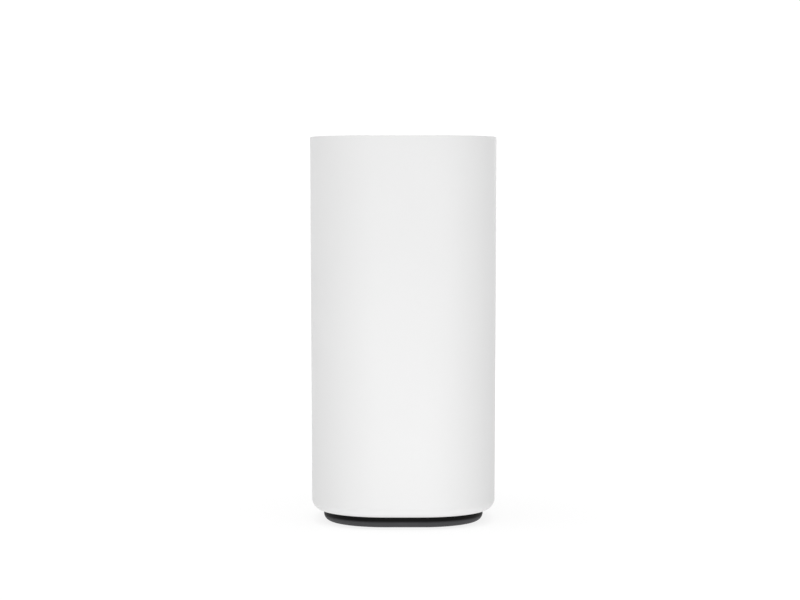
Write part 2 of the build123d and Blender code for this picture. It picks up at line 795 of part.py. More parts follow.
def antenna_lead(angle):
    """Thin coaxial lead: up the antenna's inner face, across above the board, down to its socket."""
    direction, face, socket_y = antenna_side(angle)
    across, up = cos(radians(angle)), sin(radians(angle))
    nearer_side = 1 if socket_y * across - face * up > 0 else -1
    out, side = antenna_reach - lead_radius, nearer_side * lead_side
    feed_x = out * across - side * up
    feed_y = out * up + side * across
    plug_x = face + direction * plug_standoff
    start = (feed_x, feed_y, antenna_low + lead_start)
    route = FilletPolyline(start, (feed_x, feed_y, lead_height), (plug_x, socket_y, lead_height),
                           (plug_x, socket_y, antenna_socket_z + plug_size / 2), radius=lead_bend)
    return sweep(Plane(origin=start, z_dir=(0, 0, 1)) * Circle(lead_radius), path=route)


def connector_row(size, stand, height):
    """A square connector half at each antenna's place on the board, standing off its face."""
    pieces = []
    for angle in antenna_angles:
        direction, face, y = antenna_side(angle)
        x_range = (face + direction * stand, face + direction * (stand + height))
        pieces.append(block(x_range, (y - size / 2, y + size / 2),
                            (antenna_socket_z - size / 2, antenna_socket_z + size / 2)))
    return group(pieces)


def antenna_sockets():
    return connector_row(antenna_socket_size, 0, socket_stand)


def antenna_plugs():
    return connector_row(plug_size, socket_stand, plug_height)


# ================================================================ write every node
def nodes():
    """Every node of the router by name."""
    lan_centres = socket_centres()[1:]
    pair_body, pair_plunger = side_switch(pair_height, pair_switch_half, pair_stem_end)
    reset_body, reset_plunger = side_switch(reset_height, reset_switch_half, reset_plunger_end)
    made = dict(
        outer_shell=outer_shell(),
        base_foot=base_foot(),
        rubber_feet=rubber_feet(),
        rating_label=rating_label(),
        base_screws=base_screws(),
        top_vent_cover=top_vent_cover(),
        status_light_lens=status_light_lens(),
        light_guide=light_guide(),
        status_led=status_led(),
        rear_port_panel=rear_port_panel(),
        wan_jack_housing=jack_block([wan_socket_height]),
        wan_jack_shield=jack_shield_can([wan_socket_height]),
        wan_jack_contacts=jack_contacts([wan_socket_height]),
        lan_jack_housing=jack_block(lan_centres),
        lan_jack_shield=jack_shield_can(lan_centres),
        lan_jack_contacts=jack_contacts(lan_centres),
        power_jack_housing=power_jack_housing(),
        power_jack_pin=power_jack_pin(),
        power_jack_contact=power_jack_contact(),
        pair_button_cap=pair_button_cap(),
        pair_switch_body=pair_body,
        pair_switch_plunger=pair_plunger,
        reset_switch_body=reset_body,
        reset_switch_plunger=reset_plunger,
        inner_chassis=inner_chassis(),
        main_board=main_board(),
        board_screws=board_screws(),
        heat_sink_screws=heat_sink_screws(),
        main_heat_sink=main_heat_sink(),
        radio_heat_sink=radio_heat_sink(),
        processor_chip=processor_chip(),
        memory_chips=memory_chips(),
        flash_chip=flash_chip(),
        ethernet_switch_chip=ethernet_switch_chip(),
        radio_chips=radio_chips(),
        processor_thermal_pad=processor_thermal_pad(),
        radio_thermal_pads=radio_thermal_pads(),
        radio_shield_frames=radio_shield_frames(),
        radio_shield_lids=radio_shield_lids(),
        ethernet_transformers=ethernet_transformers(),
        power_inductors=power_inductors(),
        smoothing_capacitors=smoothing_capacitors(),
        clock_crystals=clock_crystals(),
        antenna_sockets=antenna_sockets(),
        antenna_plugs=antenna_plugs(),
    )
    for number, angle in enumerate(antenna_angles, 1):
        made[f"antenna_{number}"] = antenna_plate(angle)
        made[f"antenna_lead_{number}"] = antenna_lead(angle)
    return made


os.makedirs("parts", exist_ok=True)
for name, shape in nodes().items():
    export_step(shape, f"parts/{name}.step")
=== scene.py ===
import bmesh
import bpy
import json
import math
import random
from mathutils import Matrix, Vector


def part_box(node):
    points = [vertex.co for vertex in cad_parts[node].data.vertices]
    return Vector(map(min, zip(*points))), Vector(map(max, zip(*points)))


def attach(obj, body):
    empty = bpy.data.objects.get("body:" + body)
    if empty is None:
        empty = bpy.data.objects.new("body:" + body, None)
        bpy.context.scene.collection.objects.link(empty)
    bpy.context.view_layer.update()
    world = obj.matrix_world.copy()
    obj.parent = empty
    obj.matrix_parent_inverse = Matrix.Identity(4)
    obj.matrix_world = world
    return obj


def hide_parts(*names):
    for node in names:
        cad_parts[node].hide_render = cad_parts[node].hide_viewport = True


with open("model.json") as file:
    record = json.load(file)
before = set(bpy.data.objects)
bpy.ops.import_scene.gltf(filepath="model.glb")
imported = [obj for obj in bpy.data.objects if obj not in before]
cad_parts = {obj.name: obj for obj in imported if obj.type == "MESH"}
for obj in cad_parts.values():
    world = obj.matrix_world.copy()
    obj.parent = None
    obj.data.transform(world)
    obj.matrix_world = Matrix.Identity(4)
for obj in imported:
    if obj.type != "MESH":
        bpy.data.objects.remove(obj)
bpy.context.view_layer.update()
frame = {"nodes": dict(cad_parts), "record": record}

MM = 0.001
SCENE = bpy.context.scene

# ---------------------------------------------------------------- driving sizes, in metres unless they say mm
SHELL_LOW, SHELL_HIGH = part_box("outer_shell")
PANEL_LOW, PANEL_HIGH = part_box("rear_port_panel")

HALF = SHELL_HIGH.x                  # half the width across the top rim
CORNER_RADIUS = 0.8 * HALF           # plan radius of the four corners
SIDE_RADIUS = 6.0 * HALF             # plan radius of the four shallow sides
BEYOND = SIDE_RADIUS - HALF          # a side arc's centre lies this far past the axis
SPAN = SIDE_RADIUS - CORNER_RADIUS   # from a side arc's centre to a corner arc's centre
CORNER_CENTRE = (math.sqrt(2 * SPAN**2 - BEYOND**2) - BEYOND) / 2
SIDE_ANGLE = math.atan2(CORNER_CENTRE, CORNER_CENTRE + BEYOND)
DRAFT = 0.9 * MM                     # the half width shrinks this much from rim to bottom
BOTTOM_ROUND = 6.6 * MM
RIM_ROUND = 0.6 * MM
INNER_HALF = 51.9 * MM
RECESS_HALF = 53.2 * MM
LIP_HALF = 43.0 * MM
LIP_THICKNESS = 2.2 * MM
LEDGE = 220.0 * MM
WINDOW_HALF = 15.0 * MM
WINDOW_LOW, WINDOW_HIGH = 16.0 * MM, 194.0 * MM
WINDOW_CORNER = 6.0 * MM
WINDOW_ROUND = 0.5 * MM
BOARD_BACK, BOARD_FRONT = (corner.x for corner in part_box("main_board"))
PANEL_FACE = PANEL_HIGH.y

SOCKET_PITCH = 16.6 * MM
SOCKET_FLOOR = -4.6 * MM             # X of the contact side of a socket
SOCKET_DEPTH = 14.0 * MM
CONTACT_PITCH = 1.02 * MM
CONTACTS = 8

# ---------------------------------------------------------------- mesh fineness
SIDE_STEPS, CORNER_STEPS = 10, 44    # of each half side and each corner of the plan outline
WALL_ROWS = 44                       # rows of faces up the sleeve beside the window
PATCH_REACH = 15                     # columns each side of the middle that the window's patch takes
RING_STEPS = 32
SHARP_ANGLE = math.radians(35.0)     # edges sharper than this stay sharp
BEVEL_ANGLE = math.radians(40.0)     # edges sharper than this are rounded
FLAT_ANGLE = math.radians(1.0)       # faces that meet flatter than this are merged
SAME_PLACE = 1e-6                    # metres

# ---------------------------------------------------------------- stage
WHITE = (1.0, 1.0, 1.0)
FLOOR_SIZE = 40.0
# the floor's glow near the middle is lower than far out: a painted shade round the piece
FLOOR_ALBEDO, PAINTED_SHADE_GLOW, FAR_GLOW = 0.18, 0.825, 0.92
PAINTED_SHADE_SPREAD = (0.1, 0.7)             # metres from the middle between which the floor's glow rises; the weaker glow nearer the middle is a painted shade round the piece
SKY = [(0.0, 0.75), (0.10, 0.75), (0.18, 0.04), (0.55, 0.2), (1.0, 1.0)]     # height of the view, light
SKY_LEFT, SKY_RIGHT = 1.95, 1.0      # strength of the surround towards -X and towards +X

# name, place, point it faces, width, height, power
SOFTBOXES = [
    ("key_front", (-0.20, -0.98, 0.14), (0, 0, 0.10), 0.5, 0.3, 1.05),
    ("key_right", (0.56, -0.78, 0.12), (0, 0, 0.10), 0.3, 0.3, 1.06),
    ("overhead", (0, -0.10, 1.30), (0, 0, 0.20), 0.8, 0.8, 4.0),
    ("fill_rear", (0.45, 1.10, 0.40), (0, 0, 0.11), 0.7, 0.5, 1.4),
    ("low_front", (0.01, -0.31, 0.005), (0, 0, 0.03), 0.2, 0.008, 0.1),
]

LENS, SENSOR = 100.6, 36.0           # in millimetres, as Blender's camera wants them
SHIFT = (-0.0042, 0.0009)
CAMERA_DISTANCE = 24.15 * HALF
CAMERA_PITCH = 0.0466                # radians below level
CAMERA_AIM = 2.352 * HALF            # height of the point it looks at
FAR_CLIP = 100.0


# ================================================================ materials
class Finish:
    """A procedural surface: one Principled shader with node chains feeding colour, roughness and bump."""

    def __init__(self, name, roughness=0.5, metallic=0.0, ior=1.5, coat=0.0, coat_roughness=0.1):
        self.material = bpy.data.materials.new(name)
        self.material.use_nodes = True
        self.tree = self.material.node_tree
        self.tree.nodes.clear()
        output = self.tree.nodes.new("ShaderNodeOutputMaterial")
        self.shader = self.tree.nodes.new("ShaderNodeBsdfPrincipled")
        self.link(self.shader.outputs["BSDF"], output.inputs["Surface"])
        self.shader.inputs["Roughness"].default_value = roughness
        self.shader.inputs["Metallic"].default_value = metallic
        self.shader.inputs["IOR"].default_value = ior
        self.shader.inputs["Coat Weight"].default_value = coat
        self.shader.inputs["Coat Roughness"].default_value = coat_roughness
        self.place = self.tree.nodes.new("ShaderNodeTexCoord").outputs["Object"]

    def link(self, output, socket):
        """Feeds an output into a socket."""
        self.tree.links.new(output, socket)

    def texture(self, kind, size, stretch=(1, 1, 1)):
        """A texture with features about size metres across, longer along an axis whose stretch is small."""
        mapping = self.tree.nodes.new("ShaderNodeMapping")
        mapping.inputs["Scale"].default_value = [factor / size for factor in stretch]
        self.link(self.place, mapping.inputs["Vector"])
        node = self.tree.nodes.new(kind)
        node.inputs["Scale"].default_value = 1.0
        self.link(mapping.outputs["Vector"], node.inputs["Vector"])
        return node

    def noise(self, size, detail=2.0, rough=0.5, stretch=(1, 1, 1)):
        node = self.texture("ShaderNodeTexNoise", size, stretch)
        node.inputs["Detail"].default_value = detail
        node.inputs["Roughness"].default_value = rough
        return node.outputs["Fac"]

    def cells(self, size):
        """Distance to the middle of the nearest round cell."""
        return self.texture("ShaderNodeTexVoronoi", size).outputs["Distance"]

    def patches(self, size):
        """A random value for each blocky patch."""
        node = self.texture("ShaderNodeTexVoronoi", size)
        node.distance = "CHEBYCHEV"
        split = self.tree.nodes.new("ShaderNodeSeparateColor")
        self.link(node.outputs["Color"], split.inputs["Color"])
        return split.outputs["Red"]

    def lines(self, axis, pitch, half_width):
        """1 on parallel lines across an axis, 0 between; half_width is a share of the pitch."""
        share = self.math("FRACT", self.math("DIVIDE", self.height(axis), pitch), 0.0)
        off_middle = self.math("ABSOLUTE", self.math("SUBTRACT", share, 0.5), 0.0)
        soft_edge = 0.04
        return self.band(off_middle, half_width + soft_edge, half_width)

    def ramp(self, value, stops):
        """A value mapped through (position, colour) stops."""
        node = self.tree.nodes.new("ShaderNodeValToRGB")
        elements = node.color_ramp.elements
        while len(elements) < len(stops):
            elements.new(0.5)
        for element, (position, colour) in zip(elements, stops):
            element.position = position
            element.color = (*colour, 1.0)
        self.link(value, node.inputs["Fac"])
        return node.outputs["Color"]

    def band(self, value, low, high, to_low=0.0, to_high=1.0):
        """A value in low..high mapped to to_low..to_high, clamped."""
        node = self.tree.nodes.new("ShaderNodeMapRange")
        for name, number in zip(("From Min", "From Max", "To Min", "To Max"), (low, high, to_low, to_high)):
            node.inputs[name].default_value = number
        self.link(value, node.inputs["Value"])
        return node.outputs["Result"]

    def math(self, operation, first, second):
        """A sum on two numbers or sockets."""
        node = self.tree.nodes.new("ShaderNodeMath")
        node.operation = operation
        for socket, value in zip(node.inputs, (first, second)):
            if isinstance(value, (int, float)):
                socket.default_value = value
            else:
                self.link(value, socket)
        return node.outputs["Value"]

    def mix(self, factor, first, second):
        """Two colours mixed by a socket's value; a colour is a tuple or a socket."""
        node = self.tree.nodes.new("ShaderNodeMix")
        node.data_type = "RGBA"
        sockets = [socket for socket in node.inputs if socket.type == "RGBA"]
        for socket, value in zip(sockets, (first, second)):
            if isinstance(value, tuple):
                socket.default_value = (*value, 1.0)
            else:
                self.link(value, socket)
        self.link(factor, node.inputs["Factor"])
        return next(socket for socket in node.outputs if socket.type == "RGBA")

    def edges(self, radius):
        """1 on edges sharper than radius, 0 on open faces."""
        bevel = self.tree.nodes.new("ShaderNodeBevel")
        bevel.samples = 4
        bevel.inputs["Radius"].default_value = radius
        geometry = self.tree.nodes.new("ShaderNodeNewGeometry")
        dot = self.tree.nodes.new("ShaderNodeVectorMath")
        dot.operation = "DOT_PRODUCT"
        self.link(bevel.outputs["Normal"], dot.inputs[0])
        self.link(geometry.outputs["Normal"], dot.inputs[1])
        turned_by_30_degrees = 0.86
        return self.band(dot.outputs["Value"], 1.0, turned_by_30_degrees)

    def height(self, axis="Z"):
        """The coordinate along an axis, in metres."""
        node = self.tree.nodes.new("ShaderNodeSeparateXYZ")
        self.link(self.place, node.inputs["Vector"])
        return node.outputs[axis]

    def from_middle(self):
        """Distance in metres from the frame's origin."""
        node = self.tree.nodes.new("ShaderNodeVectorMath")
        node.operation = "LENGTH"
        self.link(self.place, node.inputs[0])
        return node.outputs["Value"]

    def colour(self, value):
        """Sets the base colour to a tuple or feeds it from a socket."""
        socket = self.shader.inputs["Base Color"]
        if isinstance(value, tuple):
            socket.default_value = (*value, 1.0)
        else:
            self.link(value, socket)

    def rough(self, value):
        """Feeds the roughness from a socket."""
        self.link(value, self.shader.inputs["Roughness"])

    def bump(self, value, depth):
        """Raises the surface by depth metres where value is 1. Calls stack."""
        node = self.tree.nodes.new("ShaderNodeBump")
        node.inputs["Distance"].default_value = depth
        self.link(value, node.inputs["Height"])
        socket = self.shader.inputs["Normal"]
        if socket.is_linked:
            self.link(socket.links[0].from_socket, node.inputs["Normal"])
        self.link(node.outputs["Normal"], socket)


def tint(colour, factor):
    """A colour made lighter or darker."""
    return tuple(min(1.0, channel * factor) for channel in colour)


def moulded_plastic(name, colour, roughness, grain=0.22 * MM, depth=0.012 * MM):
    """Injection-moulded plastic: spark-eroded grain, slow shade drift, faint mottling, polished edges."""
    finish = Finish(name, roughness, ior=1.47)
    drift = finish.noise(38 * MM, 3.0)
    base = finish.ramp(drift, [(0.3, tint(colour, 0.97)), (0.7, tint(colour, 1.018))])
    mottling = finish.band(finish.noise(3.1 * MM), 0.35, 0.65)
    base = finish.mix(mottling, base, tint(colour, 0.985))
    edge = finish.edges(0.5 * MM)
    worn = finish.math("MULTIPLY", edge, 0.25)
    finish.colour(finish.mix(worn, base, tint(colour, 1.18)))
    grit = finish.noise(grain, 2.5, 0.6)
    pits = finish.cells(grain * 1.6)
    level = finish.band(grit, 0.3, 0.7, roughness - 0.05, roughness + 0.05)
    finish.rough(finish.math("SUBTRACT", level, finish.math("MULTIPLY", edge, 0.12)))
    finish.bump(grit, depth)
    finish.bump(pits, depth * 0.6)
    return finish.material


def foot_plastic(name, colour, dark):
    """Charcoal plastic with a painted shadow: its colour runs to near black in the band up against the
    sleeve, where the sleeve's overhang shades it.
    """
    finish = Finish(name, 0.5, ior=1.4)
    finish.shader.inputs["Specular IOR Level"].default_value = 0.12
    drift = finish.noise(14 * MM, 3.0)
    low = finish.ramp(drift, [(0.3, tint(colour, 0.94)), (0.7, tint(colour, 1.04))])
    # painted shadow: the colour starts to blend to the near-black dark colour at 3.1 mm and is fully near
    # black from 4.4 mm up, standing in for the sleeve's shade on the foot
    painted_shadow_band = finish.band(finish.height(), 3.1 * MM, 4.4 * MM)
    finish.colour(finish.mix(painted_shadow_band, low, dark))
    grit = finish.noise(0.25 * MM, 2.5, 0.6)
    finish.rough(finish.band(grit, 0.3, 0.7, 0.5, 0.6))
    finish.bump(grit, 0.012 * MM)
    finish.bump(finish.cells(0.4 * MM), 0.008 * MM)
    return finish.material


def white_plastic(name, colour, roughness=0.52):
    """The matte white of the sleeve: very even colour, fine spark-eroded skin."""
    finish = Finish(name, roughness, ior=1.46)
    drift = finish.noise(60 * MM, 2.0)
    base = finish.ramp(drift, [(0.25, tint(colour, 0.988)), (0.75, tint(colour, 1.006))])
    mottling = finish.noise(1.4 * MM, 3.0)
    base = finish.mix(finish.band(mottling, 0.4, 0.75, 0.0, 0.35), base, tint(colour, 0.985))
    edge = finish.edges(0.4 * MM)
    finish.colour(finish.mix(finish.math("MULTIPLY", edge, 0.3), base, tint(colour, 1.03)))
    grit = finish.noise(0.28 * MM, 3.0, 0.6)
    pits = finish.cells(0.5 * MM)
    level = finish.band(grit, 0.3, 0.7, roughness - 0.06, roughness + 0.06)
    finish.rough(finish.math("SUBTRACT", level, finish.math("MULTIPLY", edge, 0.1)))
    finish.bump(grit, 0.010 * MM)
    finish.bump(pits, 0.006 * MM)
    return finish.material


def metal(name, colour, roughness, brush=(1, 1, 1)):
    """Bare or plated metal with tarnish and bright edges, brushed along an axis whose stretch is small."""
    finish = Finish(name, roughness, metallic=1.0)
    lines = finish.noise(0.12 * MM, 3.0, 0.65, brush)
    cloud = finish.noise(4 * MM, 4.0, 0.6)
    base = finish.ramp(cloud, [(0.3, tint(colour, 0.92)), (0.7, tint(colour, 1.024))])
    edge = finish.edges(0.15 * MM)
    finish.colour(finish.mix(finish.math("MULTIPLY", edge, 0.5), base, tint(colour, 1.15)))
    grimy = finish.band(cloud, 0.3, 0.75, roughness - 0.05, roughness + 0.1)
    streak = finish.band(lines, 0.3, 0.7, -0.05, 0.05)
    finish.rough(finish.math("ADD", grimy, streak))
    finish.bump(lines, 0.004 * MM)
    return finish.material


def circuit_board(name, mask, copper):
    """Green solder mask over copper: patches of parallel tracks, broad pours and scattered vias."""
    finish = Finish(name, 0.34, ior=1.5, coat=0.25, coat_roughness=0.15)
    patches = finish.patches(7 * MM)
    across = finish.lines("Y", 0.62 * MM, 0.2)
    upright = finish.lines("Z", 0.62 * MM, 0.2)
    run_across = finish.math("MULTIPLY", across, finish.band(patches, 0.68, 0.69))
    run_up = finish.math("MULTIPLY", upright, finish.band(patches, 0.32, 0.31))
    tracks = finish.math("MAXIMUM", run_across, run_up)
    pours = finish.band(finish.patches(16 * MM), 0.5, 0.51, 0.0, 0.55)
    metal_below = finish.math("MAXIMUM", tracks, pours)
    cloud = finish.noise(5 * MM, 3.0)
    base = finish.ramp(cloud, [(0.3, tint(mask, 0.9)), (0.7, tint(mask, 1.1))])
    base = finish.mix(metal_below, base, copper)
    vias = finish.cells(2.3 * MM)
    finish.colour(finish.mix(finish.band(vias, 0.13, 0.11), base, (0.5, 0.42, 0.2)))
    finish.rough(finish.band(finish.noise(0.4 * MM, 3.0), 0.3, 0.7, 0.3, 0.42))
    finish.bump(metal_below, 0.035 * MM)
    finish.bump(finish.band(vias, 0.06, 0.05), -0.2 * MM)
    return finish.material


def rubber(name, colour):
    """Soft rubber: matt, slightly dusty, with a fine pimpled skin."""
    finish = Finish(name, 0.85, ior=1.45)
    dust = finish.noise(1.2 * MM, 4.0, 0.6)
    finish.colour(finish.ramp(dust, [(0.35, colour), (0.8, tint(colour, 1.8))]))
    finish.rough(finish.band(dust, 0.3, 0.7, 0.78, 0.92))
    finish.bump(finish.cells(0.45 * MM), 0.03 * MM)
    finish.bump(finish.noise(0.15 * MM), 0.01 * MM)
    return finish.material


MATERIALS = {}


def build_materials():
    """One procedural material for each finish slot of the record."""
    make = MATERIALS
    make["white_shell"] = white_plastic("white_shell", (0.775, 0.775, 0.775))
    make["white_cover"] = white_plastic("white_cover", (0.8, 0.8, 0.8), 0.5)
    # the second colour, near black, is the painted shadow of the sleeve on the foot's upper band
    make["charcoal_foot"] = foot_plastic("charcoal_foot", (0.058, 0.058, 0.061), (0.003, 0.003, 0.003))
    make["foot_rubber"] = rubber("foot_rubber", (0.03, 0.03, 0.031))
    make["label_film"] = moulded_plastic("label_film", (0.62, 0.62, 0.61), 0.4, 0.6 * MM, 0.004 * MM)
    make["opal_lens"] = moulded_plastic("opal_lens", (0.9, 0.9, 0.88), 0.3)
    make["clear_plastic"] = moulded_plastic("clear_plastic", (0.8, 0.83, 0.84), 0.15)
    make["emitter"] = moulded_plastic("emitter", (0.85, 0.8, 0.5), 0.25)
    make["panel_plastic"] = moulded_plastic("panel_plastic", (0.075, 0.075, 0.078), 0.5)
    make["black_insulator"] = moulded_plastic("black_insulator", (0.022, 0.022, 0.023), 0.42)
    make["wan_insulator"] = moulded_plastic("wan_insulator", (0.05, 0.17, 0.4), 0.42)
    make["button_plastic"] = moulded_plastic("button_plastic", (0.13, 0.13, 0.135), 0.4)
    make["switch_plastic"] = moulded_plastic("switch_plastic", (0.03, 0.03, 0.03), 0.35)
    make["chassis_plastic"] = moulded_plastic("chassis_plastic", (0.15, 0.15, 0.155), 0.5)
    make["chip_epoxy"] = moulded_plastic("chip_epoxy", (0.028, 0.028, 0.03), 0.5, 0.1 * MM)
    make["pad_silicone"] = rubber("pad_silicone", (0.3, 0.38, 0.5))
    make["ferrite"] = moulded_plastic("ferrite", (0.07, 0.07, 0.075), 0.6)
    make["lead_jacket"] = moulded_plastic("lead_jacket", (0.03, 0.03, 0.032), 0.4)
    make["tinned_sheet"] = metal("tinned_sheet", (0.72, 0.72, 0.7), 0.3, (1, 1, 0.05))
    make["gilt"] = metal("gilt", (0.9, 0.68, 0.28), 0.2)
    make["nickel"] = metal("nickel", (0.72, 0.7, 0.67), 0.22)
    make["zinc_screw"] = metal("zinc_screw", (0.62, 0.63, 0.66), 0.35)
    make["black_screw"] = metal("black_screw", (0.09, 0.09, 0.095), 0.42)
    make["sink_aluminium"] = metal("sink_aluminium", (0.8, 0.81, 0.82), 0.38, (1, 1, 0.02))
    make["capacitor_sleeve"] = metal("capacitor_sleeve", (0.75, 0.76, 0.77), 0.3)
    make["board_laminate"] = circuit_board("board_laminate", (0.008, 0.075, 0.036), (0.02, 0.15, 0.068))
    make["antenna_laminate"] = moulded_plastic("antenna_laminate", (0.03, 0.03, 0.035), 0.35)


# ================================================================ mesh helpers
def mesh_piece(name, points, faces, slot):
    """A new piece of the housing from points and faces."""
    mesh = bpy.data.meshes.new(name)
    mesh.from_pydata([tuple(point) for point in points], [], faces)
    mesh.validate()
    return finished(bpy.data.objects.new(name, mesh), slot, "housing")


def finished(piece, slot, body):
    """Links a piece, orients its faces outwards, shades it and puts it on its body."""
    SCENE.collection.objects.link(piece)
    work = bmesh.new()
    work.from_mesh(piece.data)
    bmesh.ops.recalc_face_normals(work, faces=work.faces)
    work.to_mesh(piece.data)
    work.free()
    for polygon in piece.data.polygons:
        polygon.use_smooth = True
    piece.data.set_sharp_from_angle(angle=SHARP_ANGLE)
    piece.data.materials.append(MATERIALS[slot])
    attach(piece, body)
    return piece


# ================================================================ the plan outline
def outline():
    """The rim's plan outline and its outward normals, counter-clockwise from the middle of the +Y side."""
    quarter = []
    for step in range(SIDE_STEPS):
        angle = SIDE_ANGLE * step / SIDE_STEPS
        quarter.append((Vector((0, -BEYOND)), SIDE_RADIUS, angle))
    for step in range(CORNER_STEPS):
        angle = SIDE_ANGLE + (math.pi / 2 - 2 * SIDE_ANGLE) * step / CORNER_STEPS
        quarter.append((Vector((-CORNER_CENTRE, CORNER_CENTRE)), CORNER_RADIUS, angle))
    for step in range(SIDE_STEPS):
        angle = math.pi / 2 - SIDE_ANGLE * (1 - step / SIDE_STEPS)
        quarter.append((Vector((BEYOND, 0)), SIDE_RADIUS, angle))
    points, normals = [], []
    for turn in range(4):
        spin = Matrix.Rotation(turn * math.pi / 2, 2)
        for centre, radius, angle in quarter:
            normal = Vector((-math.sin(angle), math.cos(angle)))
            points.append(spin @ (centre + radius * normal))
            normals.append(spin @ normal)
    return points, normals


def rear_y(x, half):
    """Y of the rear wall at x, on the outline whose half width is half."""
    inset = HALF - half
    if abs(x) <= SIDE_RADIUS * math.sin(SIDE_ANGLE):
        return math.sqrt((SIDE_RADIUS - inset) ** 2 - x * x) - BEYOND
    across = abs(x) - CORNER_CENTRE
    return CORNER_CENTRE + math.sqrt((CORNER_RADIUS - inset) ** 2 - across * across)


def arc(centre, radius, start, end, steps):
    """(half width, height) stations along a quarter round; angles in degrees, 0 outwards and 90 upwards."""
    stations = []
    for step in range(steps + 1):
        angle = math.radians(start + (end - start) * step / steps)
        stations.append((centre[0] + radius * math.cos(angle), centre[1] + radius * math.sin(angle)))
    return stations


def quarter_turn(steps):
    """Angles in radians from the first step after 0 up to a right angle."""
    return [math.radians(90 * step / steps) for step in range(1, steps + 1)]


# ================================================================ outer shell
def wall_half(z):
    """Half width of the drafted outer wall at height z."""
    return HALF - DRAFT * (SHELL_HIGH.z - z) / (SHELL_HIGH.z - SHELL_LOW.z)


def inner_half(z):
    """Half width of the straight inner wall, the same at every height z."""
    return INNER_HALF


def shell_profile():
    """Closed (half width, height) profile of the sleeve, and the first and last wall rows by the window."""
    bottom, top = SHELL_LOW.z, SHELL_HIGH.z
    low_centre = (wall_half(bottom + BOTTOM_ROUND) - BOTTOM_ROUND, bottom + BOTTOM_ROUND)
    patch_low, patch_high = WINDOW_LOW - 2.6 * MM, WINDOW_HIGH + 4 * MM
    outside = [(LIP_HALF, bottom + 0.3 * MM)]
    outside += [(LIP_HALF + 0.3 * MM, bottom), (LIP_HALF + 1.5 * MM, bottom)]
    outside += arc(low_centre, BOTTOM_ROUND, -90, 0, 14)[:-1]
    outside.append((wall_half(bottom + BOTTOM_ROUND), bottom + BOTTOM_ROUND))
    first = len(outside)
    for row in range(WALL_ROWS + 1):
        z = patch_low + (patch_high - patch_low) * row / WALL_ROWS
        outside.append((wall_half(z), z))
    last = len(outside) - 1
    for z in (205 * MM, 214 * MM, 221 * MM, 224 * MM, top - RIM_ROUND - 0.3 * MM):
        outside.append((wall_half(z), z))
    rim_centre = (wall_half(top) - RIM_ROUND, top - RIM_ROUND)
    outside += arc(rim_centre, RIM_ROUND, 0, 90, 6)
    inner_round = 0.4 * MM
    inside = arc((RECESS_HALF + inner_round, top - inner_round), inner_round, 90, 180, 4)
    inside += [(RECESS_HALF, top - 1.2 * MM), (RECESS_HALF, LEDGE + 0.4 * MM), (RECESS_HALF, LEDGE)]
    inside += [(RECESS_HALF - 0.4 * MM, LEDGE), (INNER_HALF + 0.3 * MM, LEDGE)]
    inside.append((INNER_HALF, LEDGE - 0.3 * MM))
    inside.append((INNER_HALF, patch_high + 6 * MM))
    inner_first = len(outside) + len(inside)
    for row in range(WALL_ROWS + 1):
        z = patch_high - (patch_high - patch_low) * row / WALL_ROWS
        inside.append((INNER_HALF, z))
    inner_last = len(outside) + len(inside) - 1
    inner_bend = BOTTOM_ROUND - LIP_THICKNESS
    bend_centre = (INNER_HALF - inner_bend, bottom + LIP_THICKNESS + inner_bend)
    inside += arc(bend_centre, inner_bend, 0, -90, 8)
    inside += [(LIP_HALF + 1.5 * MM, bottom + LIP_THICKNESS), (LIP_HALF, bottom + LIP_THICKNESS)]
    return outside + inside, (first, last), (inner_first, inner_last)


def window_point(x, z, grow):
    """The point nearest to (x, z) on the window's rounded edge, grown outwards by grow."""
    corner = WINDOW_CORNER
    middle = (WINDOW_LOW + WINDOW_HIGH) / 2
    core_x = WINDOW_HALF - corner
    core_z = (WINDOW_HIGH - WINDOW_LOW) / 2 - corner
    near = Vector((min(max(x, -core_x), core_x), min(max(z - middle, -core_z), core_z)))
    away = Vector((x, z - middle)) - near
    away.normalize()
    point = near + away * (corner + grow)
    return point.x, point.y + middle


def patch_loop(columns, first, last):
    """Grid places (row, column) round the window's patch, in order."""
    left, right = columns
    loop = [(first, column) for column in range(left, right)]
    loop += [(row, right) for row in range(first, last)]
    loop += [(last, column) for column in range(right, left, -1)]
    loop += [(row, left) for row in range(last, first, -1)]
    return loop


